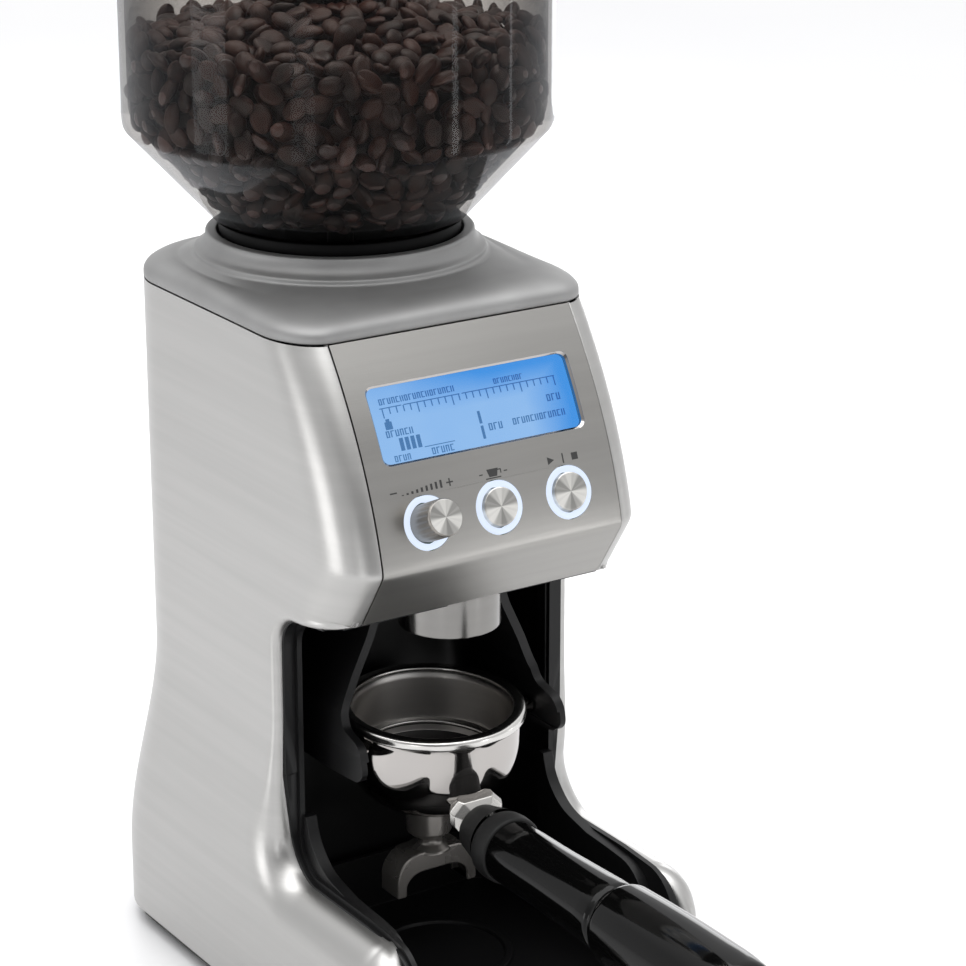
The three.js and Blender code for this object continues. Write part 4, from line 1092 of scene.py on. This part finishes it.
def make_liner():
    path = bay_path(0.6)
    split = next(i for i, (y, z) in enumerate(path) if z > 82 and y > COLUMN_FRONT - 2)
    rim = [strip(path[:split + 1], side, MOUTH_HALF - 3.2, 5.5) for side in (-1, 1)]
    rim += [strip(path[split:], side, MOUTH_HALF - 5.0, 5.5) for side in (-1, 1)]
    points, faces = merge(*rim)
    piece = make("bay_rim", "housing", points, faces, BLACK, "black_plastic", ["bay_liner"])
    round_edges(piece, 1.1, 3, 40)
    inside = 54.7
    side_view = [(TOE_Y + 4, 9)] + bay_path(2.6)[1:-1] + [(-86, 167), (LINER_BACK, 167), (LINER_BACK, 9)]
    walls = [prism(side_view, side * inside, side * (inside + 2), in_side_view) for side in (-1, 1)]
    walls.append(box_mesh(-inside, inside, LINER_BACK - 0.2, LINER_BACK + 2, 9, 167))
    walls.append(box_mesh(-inside, inside, TOE_Y + 4, LINER_BACK, 8.8, 10.6))
    points, faces = merge(*walls)
    make("bay_walls", "housing", points, faces, BLACK, "black_plastic")
    ceiling = box_mesh(-inside, inside, -91, LINER_BACK, 166.8, 168.4)
    roof = make("bay_roof", "housing", *ceiling, BLACK, "black_plastic")
    opening = arc(0, OUTLET_Y, OUTLET_RADIUS + 0.5, 0, 360, 64)[:-1]
    cut(roof, prism(opening, 160, 175, in_plan))


make_liner()


def make_tray():
    """The grinds tray: a scoop whose rim follows the bay's lower edge inside the liner's rim."""
    half = 55.4
    front, toe = TOE_Y + 3, [(-136, 22), (-130, 50), (-121, 59), (-108, 60.2), (-92, 61)]
    rim = smooth_profile([(front, 15), *toe], 6, 4)
    rim += smooth_profile([(-90, 61), (-74, 65), (-65, 74), (-62.5, 83)], 8, 5)[1:]
    outer = rim + [(-59, 83), (-59, 40), (LINER_BACK - 4, 36), (LINER_BACK - 4, 11.2), (front, 11.2)]
    scoop = prism(outer, -half, half, in_side_view)
    tray = make("tray_scoop", "tray", *scoop, BLACK, "black_plastic", ["grinds_tray"])
    hollow = rounded_rect(half - 4.6, TOE_Y + 8, LINER_BACK - 7, 9)
    cut(tray, prism(hollow, 14, 120, in_plan))
    round_edges(tray, 1.0, 3, 35)
    circle = smooth_profile([(24, 13.6), (24.6, 15.2), (27.6, 15.2), (28.2, 13.6)], 0.5, 3)
    lathe("tray_stand", "tray", circle, BLACK, "black_plastic", (), 96, (0, BASKET_Y - 6))


make_tray()

bore = OUTLET_RADIUS - 1.6
wall = [(bore, 171), (bore, OUTLET_LOW), (OUTLET_RADIUS, OUTLET_LOW), (OUTLET_RADIUS, 171)]
tube = lathe_mesh(smooth_profile(wall, 0.6, 3), 96, (0, OUTLET_Y))
make("outlet_tube", "housing", *tube, OUTLET, "outlet_steel", ["outlet_collar"], 40)


def make_cradle():
    """A shroud that narrows towards the outlet; its front edges end in hooks for the portafilter's ears."""
    heights = [92, 100, 112, 124, 138, 152, 168]
    widths = [44, 45, 45, 43.6, 38, 31.4, 26]
    side = smooth_profile(
        [(-68, 168), (-68, 126), (-71, 119), (-84, 116), (-86.6, 106), (-83, 102),
         (-70, 100.9), (-56, 100.2)], [16, 6, 5, 4, 4, 6], 6,
    )
    side_y, side_z = np.array(side).T[:, ::-1]
    columns = 60
    rear = LINER_BACK - 2.6
    spans = ((100.4, 104, 18), (105, 122, 30), (124, 167.5, 30))
    levels = np.concatenate([np.linspace(*span) for span in spans])
    points = []
    for z in levels:
        half = float(np.interp(z, heights, widths))
        front = float(np.interp(z, side_z, side_y))
        line = np.array(smooth_profile([(-half, front), (-half, rear), (half, rear), (half, front)], 14, 8))
        run = np.concatenate([[0], np.cumsum(np.linalg.norm(np.diff(line, axis=0), axis=1))])
        for t in np.linspace(0, run[-1], columns):
            x, y = (float(np.interp(t, run, part)) for part in line.T)
            points.append((x, y, float(z)))
    faces = grid_faces(len(levels), columns)
    piece = make("cradle_shroud", "cradle", points, faces, BLACK, "black_plastic", ["cradle"], 60)
    modifier(piece, "SOLIDIFY", thickness=3.4 * MM, offset=-1)
    bake(piece, 40)
    passage = box_mesh(-20.6, 20.6, -120, 0, OUTLET_LOW - 6, 180)
    end = EAR_Y + 4
    outline = smooth_profile([(-120, 103.4), (end, 103.4), (end, 110.6), (-120, 110.6)], 3.4, 5)
    cut(piece, passage, prism(outline, -42.6, 42.6, in_side_view))
    round_edges(piece, 1.2, 3, 40)


make_cradle()

# ------------------------------------------------------------------ the portafilter
tilt = Matrix.Rotation(BASKET_TILT, 3, "X")


def bowl(name, profile, material, slot, replaces=(), sides=128):
    points, faces = lathe_mesh(profile, sides)
    points = [tuple(tilt @ Vector(p) + Vector((0, BASKET_Y, BASKET_Z))) for p in points]
    return make(name, "portafilter", points, faces, material, slot, replaces, 50)


bowl_profile = smooth_profile(
    [(31.6, -2), (31.8, -1.4), (RIM_RADIUS - 1.4, -2.6), (RIM_RADIUS - 1.8, -4), (RIM_RADIUS - 1.9, -16),
     (31.6, -25.5), (26, -33.5), (17, -39), (8, -40.8), (4, -41)],
    [0.4, 0.8, 1.0, 6, 8, 8, 6, 2], 6,
)
bowl("portafilter_bowl", bowl_profile, CHROME, "chrome", ["portafilter_body"])
basket_profile = smooth_profile(
    [(31.6, -1.6), (31.2, 0.0), (30.4, -0.6), (29.6, -2.2), (28.9, -19.5), (26.8, -20.2), (26.2, -23.6),
     (0, -24.2)], [0.5, 0.6, 0.8, 0.8, 0.7, 0.6, 0.8], 4,
)
bowl("filter_cup", basket_profile, BASKET, "basket_steel", ["filter_basket"])
ledge_profile = smooth_profile([(28.9, -19.0), (26.4, -19.3), (26.0, -20.6), (27, -21.4)], 0.5, 3)
bowl("filter_ledge", ledge_profile, RIM, "basket_steel")
# a black disc over the cup's floor: painted shade at the bottom of the steel basket
bowl("filter_floor_painted_shade", [(26.4, -23.3), (0, -23.7)], BLACK, "basket_steel")
rim_profile = smooth_profile(
    [(31.0, -2.4), (30.6, 1.3), (RIM_RADIUS + 0.1, 1.3), (RIM_RADIUS + 0.1, -2.9), (32, -2.9)],
    [1.4, 2.0, 2.0], 8,
)
bowl("basket_rim", rim_profile, RIM, "chrome")

ear_profile = smooth_profile([(30, 3.0), (42.3, 3.0), (42.4, 0)], 0.5, 3)
ears = []
for side in (-1, 1):
    ring = []
    for x, r in ear_profile:
        for k in range(24):
            a = 2 * math.pi * k / 24
            ring.append((side * x, EAR_Y + r * math.cos(a), EAR_Z + r * math.sin(a)))
    ears.append((ring, grid_faces(len(ear_profile), 24, wrap=True)))
make("portafilter_ears", "portafilter", *merge(*ears), CHROME, "chrome")


def sweep(path, sections):
    """Joins closed cross-sections placed along a path; each section is a list of (x, z) about its centre."""
    points = []
    for (y, z), section in zip(path, sections):
        points += [(x, y, z + dz) for x, dz in section]
    n = len(sections[0])
    faces = grid_faces(len(sections), n, wrap=True)
    faces += [tuple(range(n)), tuple(len(points) - n + i for i in reversed(range(n)))]
    return points, faces


def facet(w, h, cut):
    """A rectangle with its corners cut off, from its half width and half height."""
    return [
        (w, -h + cut), (w, h - cut), (w - cut, h), (-w + cut, h),
        (-w, h - cut), (-w, -h + cut), (-w + cut, -h), (w - cut, -h),
    ]


neck_sizes = ((6, 7, 2), (5.6, 7, 2.2), (9.6, 4.6, 2.6), (11.6, 6.2, 4.0), (10.6, 6.6, 4.4), (7, 7, 3))
neck_path = [(-84, 88), (-88.5, 88), (-90, 85.5), (-92.5, 83), (-94.5, 82), (-96.5, 78.5)]
neck = sweep(neck_path, [facet(*size) for size in neck_sizes])
piece = make("portafilter_neck", "portafilter", *neck, BLOCK, "chrome")
round_edges(piece, 0.6, 2, 20)

stub = smooth_profile(
    [(8.8, 80), (8.8, 63.6), (8.2, 62.6), (6, 62), (4.9, 60.6), (4.9, 58.6), (8.5, 56.4), (8.6, 55.6)],
    [0.4, 0.5, 0.5, 1.5, 1.5, 2, 0.2], 4,
)
lathe("spout_stub", "portafilter", stub, HORN, "chrome", (), 64, (0, SPOUT_Y))


def make_spout():
    """Two horns that curve down from the middle, with flat faces and an open underside."""
    crown, low, reach = 57.0, 40.0, 17.8
    outside = arc(-7.6, low + 6, reach - 7.6, 180, 90, 14, ry=crown - low - 6)
    outside = [(-reach, low)] + outside + [(-x, z) for x, z in reversed(outside)] + [(reach, low)]
    inside = [(x * 0.76, low + (z - low) * 0.53) for x, z in reversed(outside)]

    def band(outline, half):
        return prism(outline, SPOUT_Y - half, SPOUT_Y + half, lambda x, z, y: (x, y, z))

    piece = make("spout_horns", "portafilter", *band(outside + inside, 6.2), HORN, "chrome", ["spout"], 60)
    cut(piece, band([(x * 0.93, low - 2 + (z - low) * 0.98) for x, z in outside], 4.8))
    round_edges(piece, 0.7, 3, 50)


make_spout()

cuff = smooth_profile([(-95.5, 6), (-95.5, 9.4), (-101, 10.6), (-107.5, 12.2)], [0.6, 1, 1], 3)
make("handle_cuff", "portafilter", *along_y(cuff, 64, HANDLE_Z + 1), RUBBER, "rubber_black")
collar = smooth_profile(
    [(-106.5, 8), (-106.8, 11.2), (-109, 13.0), (-113, 13.4), (-117.4, 13.0), (-117.4, 9)], 1.2, 4
)
ferrule = along_y(collar, 64, HANDLE_Z)
make("handle_ferrule", "portafilter", *ferrule, RUBBER, "rubber_black", ["handle_collar"])
grip = smooth_profile(
    [(-117, 9), (-117.2, 12.2), (-140, 12.0), (-176, 13.2), (-180.5, 13.0), (-182, 12.2), (-183.5, 12.2),
     (-186, 15.2), (-215, 15.9), (-246, 15.6), (-255, 14.6), (-258, 12.6), (-258, 9)],
    [0.8, 10, 8, 1, 0.5, 0.8, 3, 14, 12, 5, 2], 5,
)
make("handle_grip", "portafilter", *along_y(grip, 96, HANDLE_Z), GLOSS, "gloss_black", ["handle"], 60)
tip = smooth_profile(
    [(-257.8, 11.6), (-259.4, 12.0), (-262, 11.0), (-263.8, 8), (-264, 0)], [0.5, 1.5, 2, 1.5], 4
)
make("handle_tip", "portafilter", *along_y(tip, 64, HANDLE_Z), CHROME, "chrome", ["handle_cap"], 60)

# ------------------------------------------------------------------ carried-over CAD nodes
carried = (
    (BLACK, "base_plate", "grounds_chute", "hopper_base", "lock_dial"),
    (RUBBER, "foot_1", "foot_2", "foot_3", "foot_4", "cord_gland", "lid_seal"),
    (GREY, "start_plunger", "start_switch", "burr_chamber", "adjusting_ring", "gear_plate", "hopper_switch"),
    (BURR, "ring_burr", "cone_burr", "burr_nut", "burr_shaft", "motor_pinion"),
    (NYLON, "impeller", "output_gear", "idler_gear", "dial_pinion"),
    (BOARD, "power_board", "control_board"),
    (CHROME, "burr_handle"),
    (MOTOR, "motor_can"),
    (DIAL, "grind_dial"),
)
for material, *nodes in carried:
    for node in nodes:
        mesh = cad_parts[node].data
        mesh.materials.clear()
        mesh.materials.append(material)

# ------------------------------------------------------------------ floor, light and camera
def make_stage():
    size = 6000
    mesh = bpy.data.meshes.new("floor")
    n = Nodes("floor_white")
    n.colour(n.ramp(n.noise(2, 2), (0.3, (0.76, 0.76, 0.77)), (0.7, (0.79, 0.79, 0.79))))
    n.rough(n.noise(3, 2), 0.3, 0.4)
    corners = ((-size, -size), (size, -size), (size, size), (-size, size))
    mesh.from_pydata([at(x, y, 0) for x, y in corners], [], [(0, 1, 2, 3)])
    mesh.materials.append(n.material)
    floor = bpy.data.objects.new("floor", mesh)
    bpy.context.scene.collection.objects.link(floor)


make_stage()


def area_light(name, place, aim, width, height, power):
    """A rectangular light, with its width and height in metres and its power in watts."""
    data = bpy.data.lights.new(name, "AREA")
    data.energy = power
    data.shape = "RECTANGLE"
    data.size = width
    data.size_y = height
    lamp = bpy.data.objects.new(name, data)
    lamp.location = at(*place)
    lamp.rotation_euler = (at(*aim) - lamp.location).to_track_quat("-Z", "Y").to_euler()
    bpy.context.scene.collection.objects.link(lamp)
    return lamp


area_light("overhead_soft", (-150, -100, 1500), (0, -20, 180), 1.8, 1.8, 20)


def reflected_card(name, azimuth, away, low, high, width, radiance):
    """A bright card that is only seen in reflections; azimuth is round the hopper, in degrees."""
    a = math.radians(azimuth)
    middle = (low + high) / 2
    place = (away * math.cos(a), away * math.sin(a), middle)
    wide, tall = width * MM, (high - low) * MM
    lamp = area_light(name, place, (0, 0, middle), wide, tall, radiance * math.pi * wide * tall)
    lamp.visible_camera = False
    lamp.visible_diffuse = False
    lamp.visible_transmission = False


reflected_card("left_card", 172, 900, -60, 230, 330, 3.0)
reflected_card("left_strip", -138, 900, -60, 230, 190, 1.5)
reflected_card("right_strip", -60, 900, -60, 230, 55, 5.0)
reflected_card("right_thin_strip", -22, 900, -60, 230, 30, 3.0)
reflected_card("back_card", 52, 1500, -200, 420, 1100, 2.2)


def make_world():
    """A soft studio: bright to the left and behind, brighter overhead, dim towards the camera."""
    world = bpy.data.worlds.new("studio")
    bpy.context.scene.world = world
    world.use_nodes = True
    n = Graph(world.node_tree, "Generated")
    toward = n.add("ShaderNodeVectorMath", operation="DOT_PRODUCT")
    n.join(toward, n.place, (-0.52, -0.80, 0.28))
    levels = ((0.0, 0.93), (0.45, 0.9), (0.66, 0.72), (0.9, 0.68), (0.965, 0.22))
    stops = [(position, (level, level, level * 1.01)) for position, level in levels]
    around = n.ramp(n.between(toward.outputs["Value"], 0.0, 1.0, -1.0, 1.0), *stops)
    lift = n.between(n.split(n.place)["Z"], 0.0, 0.9, 0.45, 1.0)
    total = n.join(n.add("ShaderNodeVectorMath", operation="ADD"), around, lift)
    background = n.tree.nodes["Background"]
    n.link(total, background.inputs["Color"])
    background.inputs["Strength"].default_value = 1.0


make_world()

camera_data = bpy.data.cameras.new("camera")
camera_data.lens = 115.7
camera_data.sensor_width = 36
camera_data.clip_end = 50
camera = bpy.data.objects.new("camera", camera_data)
camera.location = at(-574.8, -974.9, 574.7)
view = Vector((0.5181, 0.7908, -0.3253))
camera.rotation_euler = view.to_track_quat("-Z", "Y").to_euler()
bpy.context.scene.collection.objects.link(camera)
bpy.context.scene.camera = camera
bpy.context.scene.view_settings.view_transform = "Standard"
